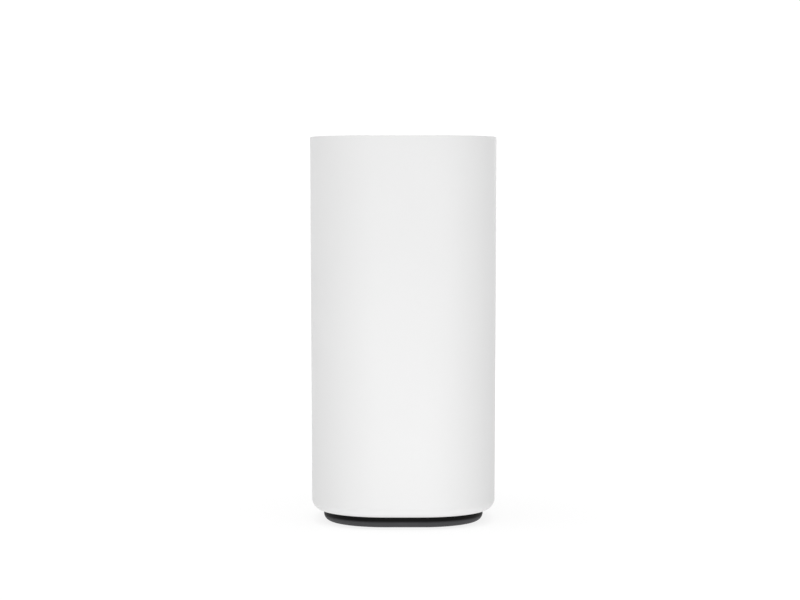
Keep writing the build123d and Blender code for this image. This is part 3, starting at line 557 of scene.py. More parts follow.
def outer_shell():
    """The sleeve as one closed mesh: profile rings round the outline, with a rounded window at the rear."""
    base, normals = outline()
    profile, (first, last), (inner_first, inner_last) = shell_profile()
    count = len(base)
    points, faces = [], []
    for half, z in profile:
        for place, normal in zip(base, normals):
            spot = place - (HALF - half) * normal
            points.append(Vector((spot.x, spot.y, z)))
    rows = len(profile)

    def grid(row, column):
        return (row % rows) * count + column % count

    def in_patch(row, column):
        offset = (column + count // 2) % count - count // 2
        beside = -PATCH_REACH <= offset < PATCH_REACH
        return beside and (first <= row < last or inner_first <= row < inner_last)

    for row in range(rows):
        for column in range(count):
            if in_patch(row, column):
                continue
            corners = ((row, column), (row, column + 1), (row + 1, column + 1), (row + 1, column))
            faces.append([grid(*corner) for corner in corners])

    def ring(loop, share, grow, surface, depth=0.0):
        """Vertices that share of the way from the patch's border to the window's edge grown by grow."""
        made = []
        for row, column in loop:
            border = points[grid(row, column)]
            edge_x, edge_z = window_point(border.x, border.z, grow)
            x = border.x + (edge_x - border.x) * share
            z = border.z + (edge_z - border.z) * share
            y = rear_y(x, surface(z)) - depth
            points.append(Vector((x, y, z)))
            made.append(len(points) - 1)
        return made

    def stitch(one, other):
        """Faces between two rings."""
        for step in range(len(one)):
            after = (step + 1) % len(one)
            faces.append((one[step], one[after], other[after], other[step]))

    outer_loop = patch_loop((-PATCH_REACH, PATCH_REACH), first, last)
    rings = [[grid(row, column) for row, column in outer_loop]]
    for share in (0.3, 0.6, 0.85, 1.0):
        rings.append(ring(outer_loop, share, WINDOW_ROUND + 0.2 * MM, wall_half))
    rings.append(ring(outer_loop, 1.0, WINDOW_ROUND, wall_half))
    for angle in quarter_turn(5):
        grow = WINDOW_ROUND * (1 - math.sin(angle))
        rings.append(ring(outer_loop, 1.0, grow, wall_half, WINDOW_ROUND * (1 - math.cos(angle))))
    inner_loop = [(inner_first + last - row, column) for row, column in outer_loop]
    inner_chamfer = 0.15 * MM
    rings.append(ring(outer_loop, 1.0, 0.0, inner_half, -inner_chamfer))
    rings.append(ring(outer_loop, 1.0, inner_chamfer, inner_half))
    rings.append(ring(outer_loop, 1.0, 0.6 * MM, inner_half))
    rings.append([grid(row, column) for row, column in inner_loop])
    for one, other in zip(rings, rings[1:]):
        stitch(one, other)
    shell = mesh_piece("outer_shell_skin", points, faces, "white_shell")
    drop_loose(shell)
    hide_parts("outer_shell")


def drop_loose(piece):
    """Removes the vertices that no face uses."""
    work = bmesh.new()
    work.from_mesh(piece.data)
    loose = [vertex for vertex in work.verts if not vertex.link_faces]
    bmesh.ops.delete(work, geom=loose, context="VERTS")
    work.to_mesh(piece.data)
    work.free()


# ================================================================ building small pieces
class Builder:
    """Collects solid shapes into one mesh."""

    def __init__(self):
        self.work = bmesh.new()

    def box(self, low, high, turn=None):
        """A box between two corners, optionally turned by a matrix."""
        low, high = Vector(low), Vector(high)
        sides = [abs(side) for side in high - low]
        place = Matrix.Translation((low + high) / 2) @ Matrix.Diagonal((*sides, 1.0))
        bmesh.ops.create_cube(self.work, size=1.0, matrix=(turn or Matrix()) @ place)

    def turned(self, profile, place, axis, steps, scale=(1.0, 1.0)):
        """Rings of vertices for (radius, height) stations about an axis that starts at place."""
        here = facing(place, axis)
        rings = []
        for radius, height in profile:
            if radius == 0.0:
                rings.append([self.work.verts.new(here @ Vector((0, 0, height)))])
                continue
            ring = []
            for step in range(steps):
                angle = 2 * math.pi * step / steps
                across, up = radius * math.cos(angle) * scale[0], radius * math.sin(angle) * scale[1]
                ring.append(self.work.verts.new(here @ Vector((across, up, height))))
            rings.append(ring)
        return rings

    def lathe(self, profile, place, axis, steps, scale=(1.0, 1.0)):
        """A solid turned from (radius, height) stations, closed at both ends."""
        rings = self.turned(profile, place, axis, steps, scale)
        self.skin(rings)
        for ring in (rings[0], rings[-1]):
            if len(ring) > 1:
                self.work.faces.new(ring)

    def washer(self, section, place, axis):
        """A flat ring: its (radius, height) section closes on itself."""
        rings = self.turned(section, place, axis, RING_STEPS)
        self.skin(rings + rings[:1])

    def skin(self, rings):
        """Faces between neighbouring rings; a ring of one vertex is a tip."""
        for one, other in zip(rings, rings[1:]):
            for step in range(max(len(one), len(other))):
                after = step + 1
                corners = [one[step % len(one)], one[after % len(one)]]
                corners += [other[after % len(other)], other[step % len(other)]]
                self.work.faces.new(list(dict.fromkeys(corners)))

    def tube(self, route, radius, steps=8):
        """A round wire along a route of points."""
        route = [Vector(point) for point in route]
        rings = []
        across = None
        for index, point in enumerate(route):
            before, after = route[max(index - 1, 0)], route[min(index + 1, len(route) - 1)]
            along = (after - before).normalized()
            if across is None:
                across = along.orthogonal().normalized()
            across = (across - across.dot(along) * along).normalized()
            beside = along.cross(across)
            ring = []
            for step in range(steps):
                angle = 2 * math.pi * (step + 0.5) / steps
                outwards = math.cos(angle) * across + math.sin(angle) * beside
                ring.append(self.work.verts.new(point + radius * outwards))
            rings.append(ring)
        self.skin(rings)
        self.work.faces.new(rings[0])
        self.work.faces.new(rings[-1])

    def bevel(self, width, segments):
        """Rounds every sharp edge."""
        shared = [edge for edge in self.work.edges if len(edge.link_faces) == 2]
        sharp = [edge for edge in shared if edge.calc_face_angle(0.0) > BEVEL_ANGLE]
        if sharp:
            bmesh.ops.bevel(self.work, geom=sharp, offset=width, offset_type="OFFSET", segments=segments,
                            profile=0.5, affect="EDGES", clamp_overlap=False)

    def piece(self, name, slot, body="housing"):
        """The collected shapes as one piece on a body."""
        mesh = bpy.data.meshes.new(name)
        self.work.to_mesh(mesh)
        self.work.free()
        piece = finished(bpy.data.objects.new(name, mesh), slot, body)
        weighted = piece.modifiers.new("weighted_normals", "WEIGHTED_NORMAL")
        weighted.keep_sharp = True
        return piece


BACKWARDS = (0, 1, 0)


def in_mm(stations):
    """Stations given in millimetres, in metres."""
    return [(radius * MM, height * MM) for radius, height in stations]


def middle_of(node):
    """The middle of a node's box."""
    low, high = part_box(node)
    return (low + high) / 2


def facing(place, axis):
    """The matrix that stands the Z axis at place along another axis."""
    spin = Vector((0, 0, 1)).rotation_difference(Vector(axis)).to_matrix().to_4x4()
    return Matrix.Translation(Vector(place)) @ spin


def refined(name, width, body):
    """The node's own shape with its edges rounded by width, in place of the node."""
    build = Builder()
    build.work.from_mesh(frame["nodes"][name].data)
    bmesh.ops.remove_doubles(build.work, verts=build.work.verts, dist=SAME_PLACE)
    bmesh.ops.dissolve_limit(build.work, angle_limit=FLAT_ANGLE, use_dissolve_boundaries=False,
                             verts=build.work.verts, edges=build.work.edges)
    if width > 0:
        build.bevel(width, 2)
    piece = build.piece(name + "_skin", SLOTS[name], body)
    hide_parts(name)


SLOTS = {entry["node"]: entry["material_slot"] for entry in frame["record"]["subparts"]}
BODY_OF = {name: body for body, names in frame["record"]["behaviour"]["bodies"].items() for name in names}

# edge rounding of each node that keeps its CAD shape, in millimetres
EDGE_ROUNDS = {
    "base_foot": 0.25, "rubber_feet": 0.12, "rating_label": 0.03, "base_screws": 0.08,
    "top_vent_cover": 0.22, "light_guide": 0.12, "status_led": 0.2, "rear_port_panel": 0.28,
    "wan_jack_housing": 0.12, "lan_jack_housing": 0.12, "wan_jack_shield": 0.07, "lan_jack_shield": 0.07,
    "power_jack_housing": 0.2, "power_jack_pin": 0.08, "power_jack_contact": 0.05,
    "pair_switch_body": 0.2, "pair_switch_plunger": 0.12, "reset_switch_body": 0.2,
    "reset_switch_plunger": 0.12, "inner_chassis": 0.3, "main_board": 0.12,
    "main_heat_sink": 0.15, "radio_heat_sink": 0.15, "processor_chip": 0.12, "memory_chips": 0.12,
    "flash_chip": 0.1, "ethernet_switch_chip": 0.12, "radio_chips": 0.12, "processor_thermal_pad": 0.15,
    "radio_thermal_pads": 0.12, "radio_shield_frames": 0.04, "radio_shield_lids": 0.09,
    "ethernet_transformers": 0.25, "power_inductors": 0.3, "smoothing_capacitors": 0.15,
    "clock_crystals": 0.12, "antenna_sockets": 0.08, "antenna_plugs": 0.1,
    "antenna_1": 0.08, "antenna_2": 0.08, "antenna_3": 0.08, "antenna_4": 0.08,
    "antenna_lead_1": 0.0, "antenna_lead_2": 0.0, "antenna_lead_3": 0.0, "antenna_lead_4": 0.0,
}


def round_the_nodes():
    """Every node that keeps its CAD shape, with rounded edges."""
    for name, width in EDGE_ROUNDS.items():
        refined(name, width * MM, BODY_OF[name])


# ================================================================ network sockets
def socket_centres(node):
    """Heights of a socket block's openings, from the bottom up."""
    low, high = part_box(node)
    middle = (low.z + high.z) / 2
    count = max(1, round((high.z - low.z) / SOCKET_PITCH))
    return [middle + (index - (count - 1) / 2) * SOCKET_PITCH for index in range(count)]


def contact_wires(node):
    """Eight spring wires to each socket: flush at the mouth, a rounded knee, then a slope up to the back."""
    build = Builder()
    mouth = PANEL_FACE - 4.0 * MM
    back = PANEL_FACE - SOCKET_DEPTH + 0.15 * MM
    knee = [(0.1, 0.0), (0.1, -0.5), (0.16, -0.9), (0.3, -1.3), (0.5, -1.8)]
    root = [(2.0, 1.9), (2.4, 0.7), (2.45, 0.0)]
    for centre in socket_centres(node):
        for index in range(CONTACTS):
            z = centre + (index - (CONTACTS - 1) / 2) * CONTACT_PITCH
            route = [(SOCKET_FLOOR + rise * MM, mouth + along * MM, z) for rise, along in knee]
            route += [(SOCKET_FLOOR + rise * MM, back + along * MM, z) for rise, along in root]
            build.tube(route, 0.22 * MM)
    piece = build.piece(node + "_wires", "gilt")
    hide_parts(node)


def shield_springs(node):
    """Pressed springs on a socket can's front: a long one under each mouth, two short ones by its latch."""
    build = Builder()
    dome = in_mm([(0.0, 0.0), (1.0, 0.0), (0.92, 0.06), (0.7, 0.14), (0.35, 0.19), (0.0, 0.2)])
    springs = ((-5.65, 0.0, 3.4, 0.55), (4.6, 5.6, 0.6, 1.1), (4.6, -5.6, 0.6, 1.1))
    for centre in socket_centres(node):
        for x, z, long, wide in springs:
            place = (x * MM, PANEL_FACE - 0.02 * MM, centre + z * MM)
            build.lathe(dome, place, BACKWARDS, 28, (wide, long))
    build.piece(node + "_springs", "tinned_sheet")


def network_sockets():
    """The wires and springs of the uplink socket and of the block of three."""
    for family in ("wan", "lan"):
        contact_wires(family + "_jack_contacts")
        shield_springs(family + "_jack_shield")


def port_marks():
    """Plain printed marks: one, two and three dots, a ring for the uplink, a bar for power, a ringed dot."""
    build = Builder()
    across = 10.6 * MM
    dot_pitch = 1.9 * MM
    ink = 0.05 * MM
    bar_half = Vector((1.2 * MM, 0.0, 0.25 * MM))
    dot = in_mm([(0.5, 0.0), (0.48, 0.04), (0.0, 0.05)])
    ring = in_mm([(1.25, 0.0), (1.25, 0.05), (0.85, 0.05), (0.85, 0.0)])

    def beside(height):
        return Vector((across, PANEL_FACE, height))

    for number, centre in enumerate(socket_centres("lan_jack_shield"), 1):
        for index in range(number):
            build.lathe(dot, beside(centre + (index - (number - 1) / 2) * dot_pitch), BACKWARDS, 20)
    build.washer(ring, beside(socket_centres("wan_jack_shield")[0]), BACKWARDS)
    power = beside(middle_of("power_jack_pin").z)
    build.box(power - bar_half, power + bar_half + ink * Vector(BACKWARDS))
    pair = beside(middle_of("pair_button_cap").z)
    build.washer(ring, pair, BACKWARDS)
    build.lathe(dot, pair, BACKWARDS, 20)
    build.piece("port_marks", "label_film")


# ================================================================ buttons and lens
def pair_button():
    """Round cap with a shallow finger dish, its flange behind the panel and its stem to the switch."""
    low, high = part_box("pair_button_cap")
    centre = (low.z + high.z) / 2
    crown = high.y
    flange = PANEL_LOW.y
    cap, edge_round = 4.0 * MM, 0.5 * MM
    dish_depth, dish_reach = 0.45 * MM, 3.3 * MM
    stem_radius, stem_chamfer, stem_x = 1.4 * MM, 0.15 * MM, -2.8 * MM
    build = Builder()
    rings = in_mm([(0.0, -1.1), (5.2, -1.1), (5.2, -0.1), (4.0, -0.1)])
    profile = [(radius, flange + along) for radius, along in rings]
    profile.append((cap, crown - 0.6 * MM))
    profile += arc((cap - edge_round, crown - edge_round), edge_round, 0, 90, 6)[1:]
    for radius in (3.2 * MM, 2.9 * MM, 2.5 * MM, 2.0 * MM, 1.4 * MM, 0.7 * MM, 0.0):
        profile.append((radius, crown - dish_depth * (1 - (radius / dish_reach) ** 2)))
    build.lathe(profile, (0, 0, centre), BACKWARDS, 56)
    root = flange - 1.0 * MM
    stem = [(0.0, low.y), (stem_radius - stem_chamfer, low.y), (stem_radius, low.y + stem_chamfer)]
    stem += [(stem_radius, root), (0.0, root)]
    build.lathe(stem, (stem_x, 0, centre), BACKWARDS, 24)
    piece = build.piece("pair_button_dished_cap", "button_plastic", "pair_button")
    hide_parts("pair_button_cap")


def lens():
    """A slightly domed opal lens over the light guide."""
    low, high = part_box("status_light_lens")
    edge = high.x
    edge_round, crown = 0.3 * MM, 0.12 * MM
    build = Builder()
    profile = [(0.0, low.z), (edge, low.z), (edge, high.z - 0.45 * MM)]
    profile += arc((edge - edge_round, high.z - edge_round - crown), edge_round, 0, 90, 5)[1:]
    for share in (0.75, 0.5, 0.25, 0.0):
        profile.append((edge * share, high.z - crown * share**2))
    build.lathe(profile, (0, 0, 0), (0, 0, 1), 56)
    piece = build.piece("status_light_domed_lens", "opal_lens")
    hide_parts("status_light_lens")


# ================================================================ screws
SCREW_HEAD = (2.4 * MM, 1.7 * MM, 0.7 * MM)      # radius, height and rounding
SHANK_RADIUS, THREAD_ROOT = 1.25 * MM, 0.82      # the root is a share of the shank's radius
THREAD_PITCH = 0.5 * MM
CROSS_ARM, CROSS_HALF_WIDTH, CROSS_DEPTH = 1.45 * MM, 0.28 * MM, 1.0 * MM
CROSS_TAPER = 0.8                                # size of the recess's floor against its mouth


def screw_profile(length):
    """(radius, height) stations of a screw whose head starts at height 0 and whose tip is length below."""
    head_radius, head_height, head_round = SCREW_HEAD
    root = THREAD_ROOT * SHANK_RADIUS
    profile = [(0.0, -length), (0.7 * SHANK_RADIUS, -length)]
    for turn in range(int((length - 0.8 * MM) / THREAD_PITCH)):
        start = -length + 0.25 * MM + turn * THREAD_PITCH
        profile += [(root, start), (SHANK_RADIUS, start + THREAD_PITCH / 2)]
    profile += [(root, -0.4 * MM), (0.95 * SHANK_RADIUS, 0.0), (head_radius, 0.0)]
    return profile + arc((head_radius - head_round, head_height - head_round), head_round, 0, 90, 6)


def cross_headed(build, profile, place, axis):
    """A turned screw whose flat crown is cut with a cross recess."""
    here = facing(place, axis)
    rings = build.turned(profile, place, axis, RING_STEPS)
    build.skin(rings)
    crown = profile[-1][1]
    half = CROSS_HALF_WIDTH
    quarter = [(CROSS_ARM, -half), (CROSS_ARM, half), (half, half)]
    cross = []
    for turn in range(4):
        spin_flat = Matrix.Rotation(turn * math.pi / 2, 2)
        cross += [spin_flat @ Vector(corner) for corner in quarter]
    mouth = [build.work.verts.new(here @ Vector((*corner, crown))) for corner in cross]
    narrowed = [corner * CROSS_TAPER for corner in cross]
    bottom = [build.work.verts.new(here @ Vector((*corner, crown - CROSS_DEPTH))) for corner in narrowed]
    count = len(mouth)
    edges = []
    for step in range(count):
        after = (step + 1) % count
        build.work.faces.new((mouth[step], mouth[after], bottom[after], bottom[step]))
        edges.append(build.work.edges.get((mouth[step], mouth[after])))
    build.work.faces.new(bottom)
    rim = rings[-1]
    edges += [build.work.edges.get((rim[step], rim[(step + 1) % len(rim)])) for step in range(len(rim))]
    bmesh.ops.triangle_fill(build.work, edges=edges, use_beauty=True)


def clustered(node):
    """The box of each separate solid of a node, from the bottom up."""
    work = bmesh.new()
    work.from_mesh(frame["nodes"][node].data)
    bmesh.ops.remove_doubles(work, verts=work.verts, dist=SAME_PLACE)
    waiting = set(work.verts)
    boxes = []
    while waiting:
        seed = waiting.pop()
        island, queue = [seed], [seed]
        while queue:
            for edge in queue.pop().link_edges:
                for vertex in edge.verts:
                    if vertex in waiting:
                        waiting.remove(vertex)
                        island.append(vertex)
                        queue.append(vertex)
        low = Vector([min(vertex.co[axis] for vertex in island) for axis in range(3)])
        high = Vector([max(vertex.co[axis] for vertex in island) for axis in range(3)])
        boxes.append((low, high))
    work.free()
    return sorted(boxes, key=lambda pair: (round(pair[0].z, 5), round(pair[0].y, 5)))


def screws_along_x():
    """The screws that pass through the board, with their heads on whichever face they are driven from."""
    for node in ("board_screws", "heat_sink_screws"):
        build = Builder()
        for low, high in clustered(node):
            y, z = (low.y + high.y) / 2, (low.z + high.z) / 2
            head_in_front = abs(high.x - BOARD_FRONT - SCREW_HEAD[1]) < 0.2 * MM
            if head_in_front:
                seat, tip, axis = BOARD_FRONT, low.x, (1, 0, 0)
            else:
                seat, tip, axis = BOARD_BACK, high.x, (-1, 0, 0)
            cross_headed(build, screw_profile(abs(tip - seat)), (seat, y, z), axis)
        piece = build.piece(node + "_cross_headed", SLOTS[node])
        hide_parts(node)


# ================================================================ board details
CLEAR_OF_BOARD = ("main_board", "outer_shell", "inner_chassis", "main_heat_sink", "radio_heat_sink")
NEAR_BOARD = 0.6 * MM
CHIP_SIZES = ((1.6, 0.8, 0.45), (1.0, 0.5, 0.35), (2.0, 1.25, 0.7))     # length, width, height in mm
CHIP_GAP = 0.7                       # between neighbours in a row, in mm
CLUSTERS = 150                       # tries on each face of the board
CHIP_END = 0.28                      # share of a chip part's length that each tinned end takes
CHIP_END_PROUD = 0.03 * MM


def taken_places(face):
    """The (y, z) rectangles already taken on one face of the board."""
    taken = []
    for name in frame["nodes"]:
        if name in CLEAR_OF_BOARD:
            continue
        for low, high in clustered(name):
            if low.x < face + NEAR_BOARD and high.x > face - NEAR_BOARD:
                taken.append((low.y, high.y, low.z, high.z))
    return taken


def small_parts():
    """Rows of chip resistors and capacitors in the free areas of both board faces."""
    chance = random.Random(11)
    board_low, board_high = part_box("main_board")
    ceramic, dark, ends = Builder(), Builder(), Builder()
    for face, out in ((BOARD_FRONT, 1), (BOARD_BACK, -1)):
        taken = taken_places(face)
        for cluster in range(CLUSTERS):
            y = chance.uniform(board_low.y + 5 * MM, board_high.y - 4 * MM)
            z = chance.uniform(board_low.z + 4 * MM, board_high.z - 4 * MM)
            long, wide, tall = chance.choice(CHIP_SIZES)
            upright = chance.random() < 0.5
            body = dark if chance.random() < 0.55 else ceramic
            half = (wide / 2 * MM, long / 2 * MM) if upright else (long / 2 * MM, wide / 2 * MM)
            for index in range(chance.choice((1, 2, 3, 4))):
                step = index * (wide + CHIP_GAP) * MM
                centre = (y + step, z) if upright else (y, z + step)
                spot = (centre[0] - half[0], centre[0] + half[0], centre[1] - half[1], centre[1] + half[1])
                if not is_free(spot, taken, 0.5 * MM) or spot[1] > board_high.y - 2 * MM:
                    continue
                taken.append(spot)
                chip_part(body, ends, face, out, centre, half, tall * MM, upright)
    kinds = ((ceramic, "board_ceramic_parts", "label_film"), (dark, "board_dark_parts", "chip_epoxy"),
             (ends, "board_part_ends", "tinned_sheet"))
    for build, name, slot in kinds:
        build.bevel(0.05 * MM, 1)
        build.piece(name, slot)


def is_free(spot, taken, gap):
    """Whether a (y, z) rectangle keeps a gap from all the others."""
    for other in taken:
        apart = (spot[0] > other[1] + gap or spot[1] < other[0] - gap
                 or spot[2] > other[3] + gap or spot[3] < other[2] - gap)
        if not apart:
            return False
    return True


def chip_part(body, ends, face, out, centre, half, tall, upright):
    """One chip resistor or capacitor: a body between two tinned ends."""
    y, z = centre
    inner = 1 - 2 * CHIP_END
    sections = [(-1, -inner, ends, CHIP_END_PROUD), (inner, 1, ends, CHIP_END_PROUD)]
    sections.append((-inner, inner, body, 0.0))
    for start, stop, build, proud in sections:
        top = face + out * (tall + proud)
        if upright:
            low = (face, y - half[0] - proud, z + start * half[1])
            high = (top, y + half[0] + proud, z + stop * half[1])
        else:
            low = (face, y + start * half[0], z - half[1] - proud)
            high = (top, y + stop * half[0], z + half[1] + proud)
        build.box(low, high)


TWO_SIDES = ((1, 1), (1, -1))        # axis (1 is Y, 2 is Z) and way along it
ALL_ROUND = TWO_SIDES + ((2, 1), (2, -1))
LEGGED_CHIPS = (("ethernet_switch_chip", ALL_ROUND, 0.5), ("flash_chip", TWO_SIDES, 1.27),
                ("ethernet_transformers", TWO_SIDES, 1.27))             # node, sides, pitch in millimetres
LEG_BENDS = ((0.55, -0.1), (0.55, 0.25), (0.45, 0.38), (0.16, 0.46), (0.1, 0.6), (0.1, 0.95))   # rise, reach


def leg_rows():
    """One row of legs for each side of each legged package: its box, side and pitch."""
    for node, sides, pitch in LEGGED_CHIPS:
        for low, high in clustered(node):
            for axis, way in sides:
                yield low, high, axis, way, pitch


def chip_legs():
    """Gull-wing legs on the packages that have them."""
    build = Builder()
    for low, high, axis, way, pitch in leg_rows():
        other = 3 - axis
        span = high[other] - low[other] - 1.4 * MM
        count = int(span / (pitch * MM)) + 1
        edge = high[axis] if way > 0 else low[axis]
        for index in range(count):
            route = []
            for rise, reach in LEG_BENDS:
                spot = [low.x + rise * MM, 0.0, 0.0]
                spot[axis] = edge + way * reach * MM
                spot[other] = (low[other] + high[other]) / 2 + (index - (count - 1) / 2) * pitch * MM
                route.append(spot)
            build.tube(route, 0.2 * pitch**0.5 * MM, 6)
    build.piece("chip_legs", "tinned_sheet")


def screw_lands():
    """Bare gilt rings round the board's screw holes, on both faces."""
    build = Builder()
    land = in_mm([(3.1, 0.0), (3.1, 0.03), (1.5, 0.03), (1.5, 0.0)])
    for node in ("board_screws", "heat_sink_screws"):
        for low, high in clustered(node):
            y, z = (low.y + high.y) / 2, (low.z + high.z) / 2
            for face, out in ((BOARD_FRONT, 1), (BOARD_BACK, -1)):
                build.washer(land, (face, y, z), (out, 0, 0))
    build.piece("screw_lands", "gilt")


def inductor_terminals():
    """Tinned end clips and a round winding window on each power inductor."""
    clips, cores = Builder(), Builder()
    clip_half, clip_rise, sunk, proud = 1.3 * MM, 2.2 * MM, 0.1 * MM, 0.15 * MM
    crown = in_mm([(2.7, -0.1), (2.7, 0.06), (2.5, 0.14), (1.1, 0.14), (1.0, 0.05), (0.0, 0.05)])
    for low, high in clustered("power_inductors"):
        y, z = (low.y + high.y) / 2, (low.z + high.z) / 2
        for edge, way in ((low.z, -1), (high.z, 1)):
            corner = (low.x, y - clip_half, edge - way * sunk)
            clips.box(corner, (low.x + clip_rise, y + clip_half, edge + way * proud))
        cores.lathe(crown, (high.x, y, z), (1, 0, 0), 36)
    clips.bevel(0.06 * MM, 1)
    clips.piece("inductor_clips", "tinned_sheet")
    cores.piece("inductor_crowns", "ferrite")


def capacitor_trim():
    """A dark stripe down each capacitor's sleeve and a scored cross on its end."""
    stripes, scores = Builder(), Builder()
    film = 0.05 * MM
    stripe_start, stripe_turn, stripe_steps = 64, 52, 8      # degrees, degrees, count
    for low, high in clustered("smoothing_capacitors"):
        y, z = (low.y + high.y) / 2, (low.z + high.z) / 2
        radius = (high.y - low.y) / 2
        near, far = low.x + 1.4 * MM, high.x - 3.4 * MM
        section = ((near, radius), (near, radius + film), (far, radius + film), (far, radius))
        rings = []
        for step in range(stripe_steps + 1):
            angle = math.radians(stripe_start + stripe_turn * step / stripe_steps)
            ring = []
            for x, reach in section:
                spot = (x, y + reach * math.cos(angle), z + reach * math.sin(angle))
                ring.append(stripes.work.verts.new(spot))
            rings.append(ring)
        stripes.skin(rings)
        stripes.work.faces.new(rings[0])
        stripes.work.faces.new(rings[-1])
        for turn in (0, 90):
            spin = Matrix.Translation((low.x, y, z)) @ Matrix.Rotation(math.radians(turn), 4, "X")
            scores.box((-0.05 * MM, -0.55 * radius, -0.12 * MM), (0.02 * MM, 0.55 * radius, 0.12 * MM), spin)
    stripes.piece("capacitor_stripes", "black_insulator")
    scores.piece("capacitor_scores", "nickel")


# ================================================================ antennas and label
def antenna_copper():
    """Etched copper on each antenna's inner face: a feed pad, a stem and a folded radiator."""
    build = Builder()
    # middle across, middle up from the plate's foot, width and height, in millimetres
    runs = [(0.0, 5.0, 4.4, 3.0), (0.0, 13.0, 1.2, 14.0), (-5.0, 19.6, 11.2, 1.2), (-10.0, 25.0, 1.2, 12.0),
            (-5.0, 30.6, 10.6, 1.2), (0.6, 34.0, 1.2, 8.0), (5.6, 37.6, 11.2, 1.2), (10.0, 28.0, 1.2, 20.0),
            (6.0, 18.4, 8.6, 1.2), (5.8, 8.0, 5.0, 9.0), (-6.0, 8.0, 5.0, 9.0)]
    for number in range(1, 5):
        low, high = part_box(f"antenna_{number}")
        middle = (low + high) / 2
        angle = math.atan2(middle.y, middle.x)
        spin = Matrix.Rotation(angle, 4, "Z")
        inner = middle.xy.length - 0.4 * MM      # the inner face, half the plate's thickness from its middle
        for across, up, wide, tall in runs:
            near = (inner - 0.05 * MM, (across - wide / 2) * MM, low.z + (up - tall / 2) * MM)
            far = (inner + 0.01 * MM, (across + wide / 2) * MM, low.z + (up + tall / 2) * MM)
            build.box(near, far, spin)
    build.piece("antenna_copper", "gilt")


def label_rules():
    """A plain printed border and dividing rules on the rating label; there is no lettering."""
    low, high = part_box("rating_label")
    build = Builder()
    line, lift, margin = 0.25 * MM, 0.02 * MM, 1.5 * MM
    left, right = low.x + margin, high.x - margin
    near, far = low.y + margin, high.y - margin
    rules = [(left, right, near, near + line), (left, right, far - line, far)]
    rules += [(left, left + line, near, far), (right - line, right, near, far)]
    for share in (0.25, 0.5, 0.75):
        y = near + (far - near) * share
        rules.append((left, right, y, y + line))
    middle = left + (right - left) * 0.62
    rules.append((middle, middle + line, near, near + (far - near) * 0.5))
    for x_from, x_to, y_from, y_to in rules:
        build.box((x_from, y_from, low.z - lift), (x_to, y_to, low.z + lift))
    build.piece("label_rules", "charcoal_foot")


def details():
    """Every piece that is remodelled or added."""
    network_sockets()
    port_marks()
    pair_button()
    lens()
    screws_along_x()
    small_parts()
    chip_legs()
    screw_lands()
    inductor_terminals()
    capacitor_trim()
    antenna_copper()
    label_rules()


# ================================================================ stage: floor, light, camera
def floor():
    """A plain white sweep, back-lit like a light table so that it keeps only faint contact shadows; its glow
    is weaker near the middle, a painted shade round the piece.
    """
    mesh = bpy.data.meshes.new("floor")
    size = FLOOR_SIZE
    corners = [(-size, -size, 0), (size, -size, 0), (size, size, 0), (-size, size, 0)]
    mesh.from_pydata(corners, [], [(0, 1, 2, 3)])
    piece = bpy.data.objects.new("floor", mesh)
    SCENE.collection.objects.link(piece)
    finish = Finish("floor_white", 0.9)
    cloud = finish.noise(0.3, 2.0)
    shades = [(0.0, tint(WHITE, FLOOR_ALBEDO)), (1.0, tint(WHITE, FLOOR_ALBEDO * 1.04))]
    finish.colour(finish.ramp(cloud, shades))
    finish.shader.inputs["Specular IOR Level"].default_value = 0.0
    finish.shader.inputs["Emission Color"].default_value = (*WHITE, 1.0)
    # painted shade: the glow is weakest near the middle and rises outwards
    glow = finish.band(finish.from_middle(), *PAINTED_SHADE_SPREAD, PAINTED_SHADE_GLOW, FAR_GLOW)
    finish.link(glow, finish.shader.inputs["Emission Strength"])
    piece.data.materials.append(finish.material)


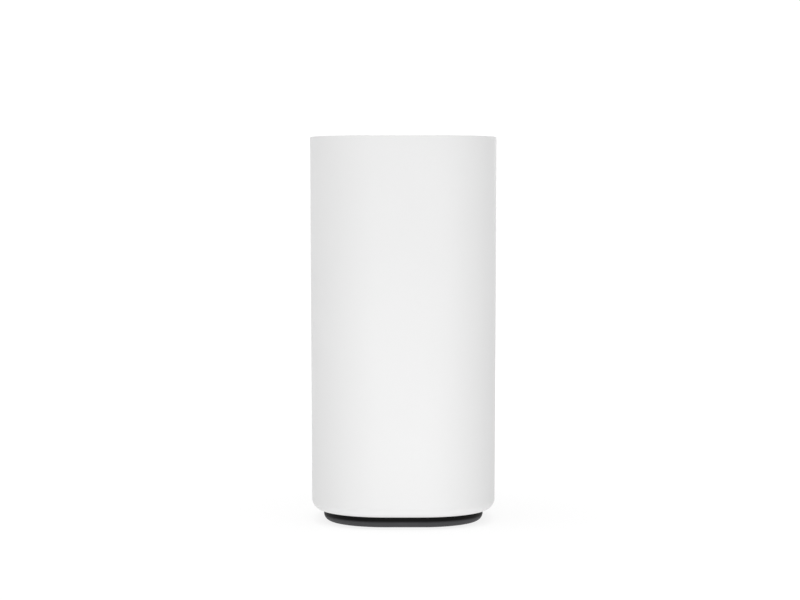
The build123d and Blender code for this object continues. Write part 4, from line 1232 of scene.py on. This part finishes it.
def world_light():
    """A white surround: bright at the horizon, dim just above it, brightest overhead, weaker towards +X."""
    world = bpy.data.worlds.new("studio")
    SCENE.world = world
    world.use_nodes = True
    tree = world.node_tree
    tree.nodes.clear()
    place = tree.nodes.new("ShaderNodeTexCoord")
    split = tree.nodes.new("ShaderNodeSeparateXYZ")
    tree.links.new(place.outputs["Generated"], split.inputs["Vector"])
    climb = tree.nodes.new("ShaderNodeValToRGB")
    elements = climb.color_ramp.elements
    while len(elements) < len(SKY):
        elements.new(0.5)
    for element, (height, light) in zip(elements, SKY):
        element.position = height
        element.color = (light, light, light, 1.0)
    tree.links.new(split.outputs["Z"], climb.inputs["Fac"])
    soft = tree.nodes.new("ShaderNodeBackground")
    across = tree.nodes.new("ShaderNodeMapRange")
    for name, value in zip(("From Min", "From Max", "To Min", "To Max"), (-1.0, 1.0, SKY_LEFT, SKY_RIGHT)):
        across.inputs[name].default_value = value
    tree.links.new(split.outputs["X"], across.inputs["Value"])
    tree.links.new(across.outputs["Result"], soft.inputs["Strength"])
    tree.links.new(climb.outputs["Color"], soft.inputs["Color"])
    output = tree.nodes.new("ShaderNodeOutputWorld")
    tree.links.new(soft.outputs["Background"], output.inputs["Surface"])


def softbox(name, place, aim, width, height, power):
    """A rectangular lamp that the camera doesn't see."""
    light = bpy.data.lights.new(name, "AREA")
    light.shape = "RECTANGLE"
    light.size, light.size_y = width, height
    light.energy = power
    lamp = bpy.data.objects.new(name, light)
    lamp.location = place
    lamp.rotation_mode = "QUATERNION"
    lamp.rotation_quaternion = (Vector(aim) - Vector(place)).to_track_quat("-Z", "Y")
    lamp.visible_camera = False
    SCENE.collection.objects.link(lamp)


def camera():
    """A long lens just below the rim's height, looking slightly down."""
    data = bpy.data.cameras.new("camera")
    data.lens = LENS
    data.sensor_width = SENSOR
    data.shift_x, data.shift_y = SHIFT
    data.clip_end = FAR_CLIP
    view = bpy.data.objects.new("camera", data)
    back, up = CAMERA_DISTANCE * math.cos(CAMERA_PITCH), CAMERA_DISTANCE * math.sin(CAMERA_PITCH)
    view.location = (0, -back, CAMERA_AIM + up)
    view.rotation_euler = (math.pi / 2 - CAMERA_PITCH, 0, 0)
    SCENE.collection.objects.link(view)
    SCENE.camera = view


SCENE.view_settings.view_transform = "Standard"
build_materials()
camera()
floor()
world_light()
for softbox_values in SOFTBOXES:
    softbox(*softbox_values)
outer_shell()
round_the_nodes()
details()
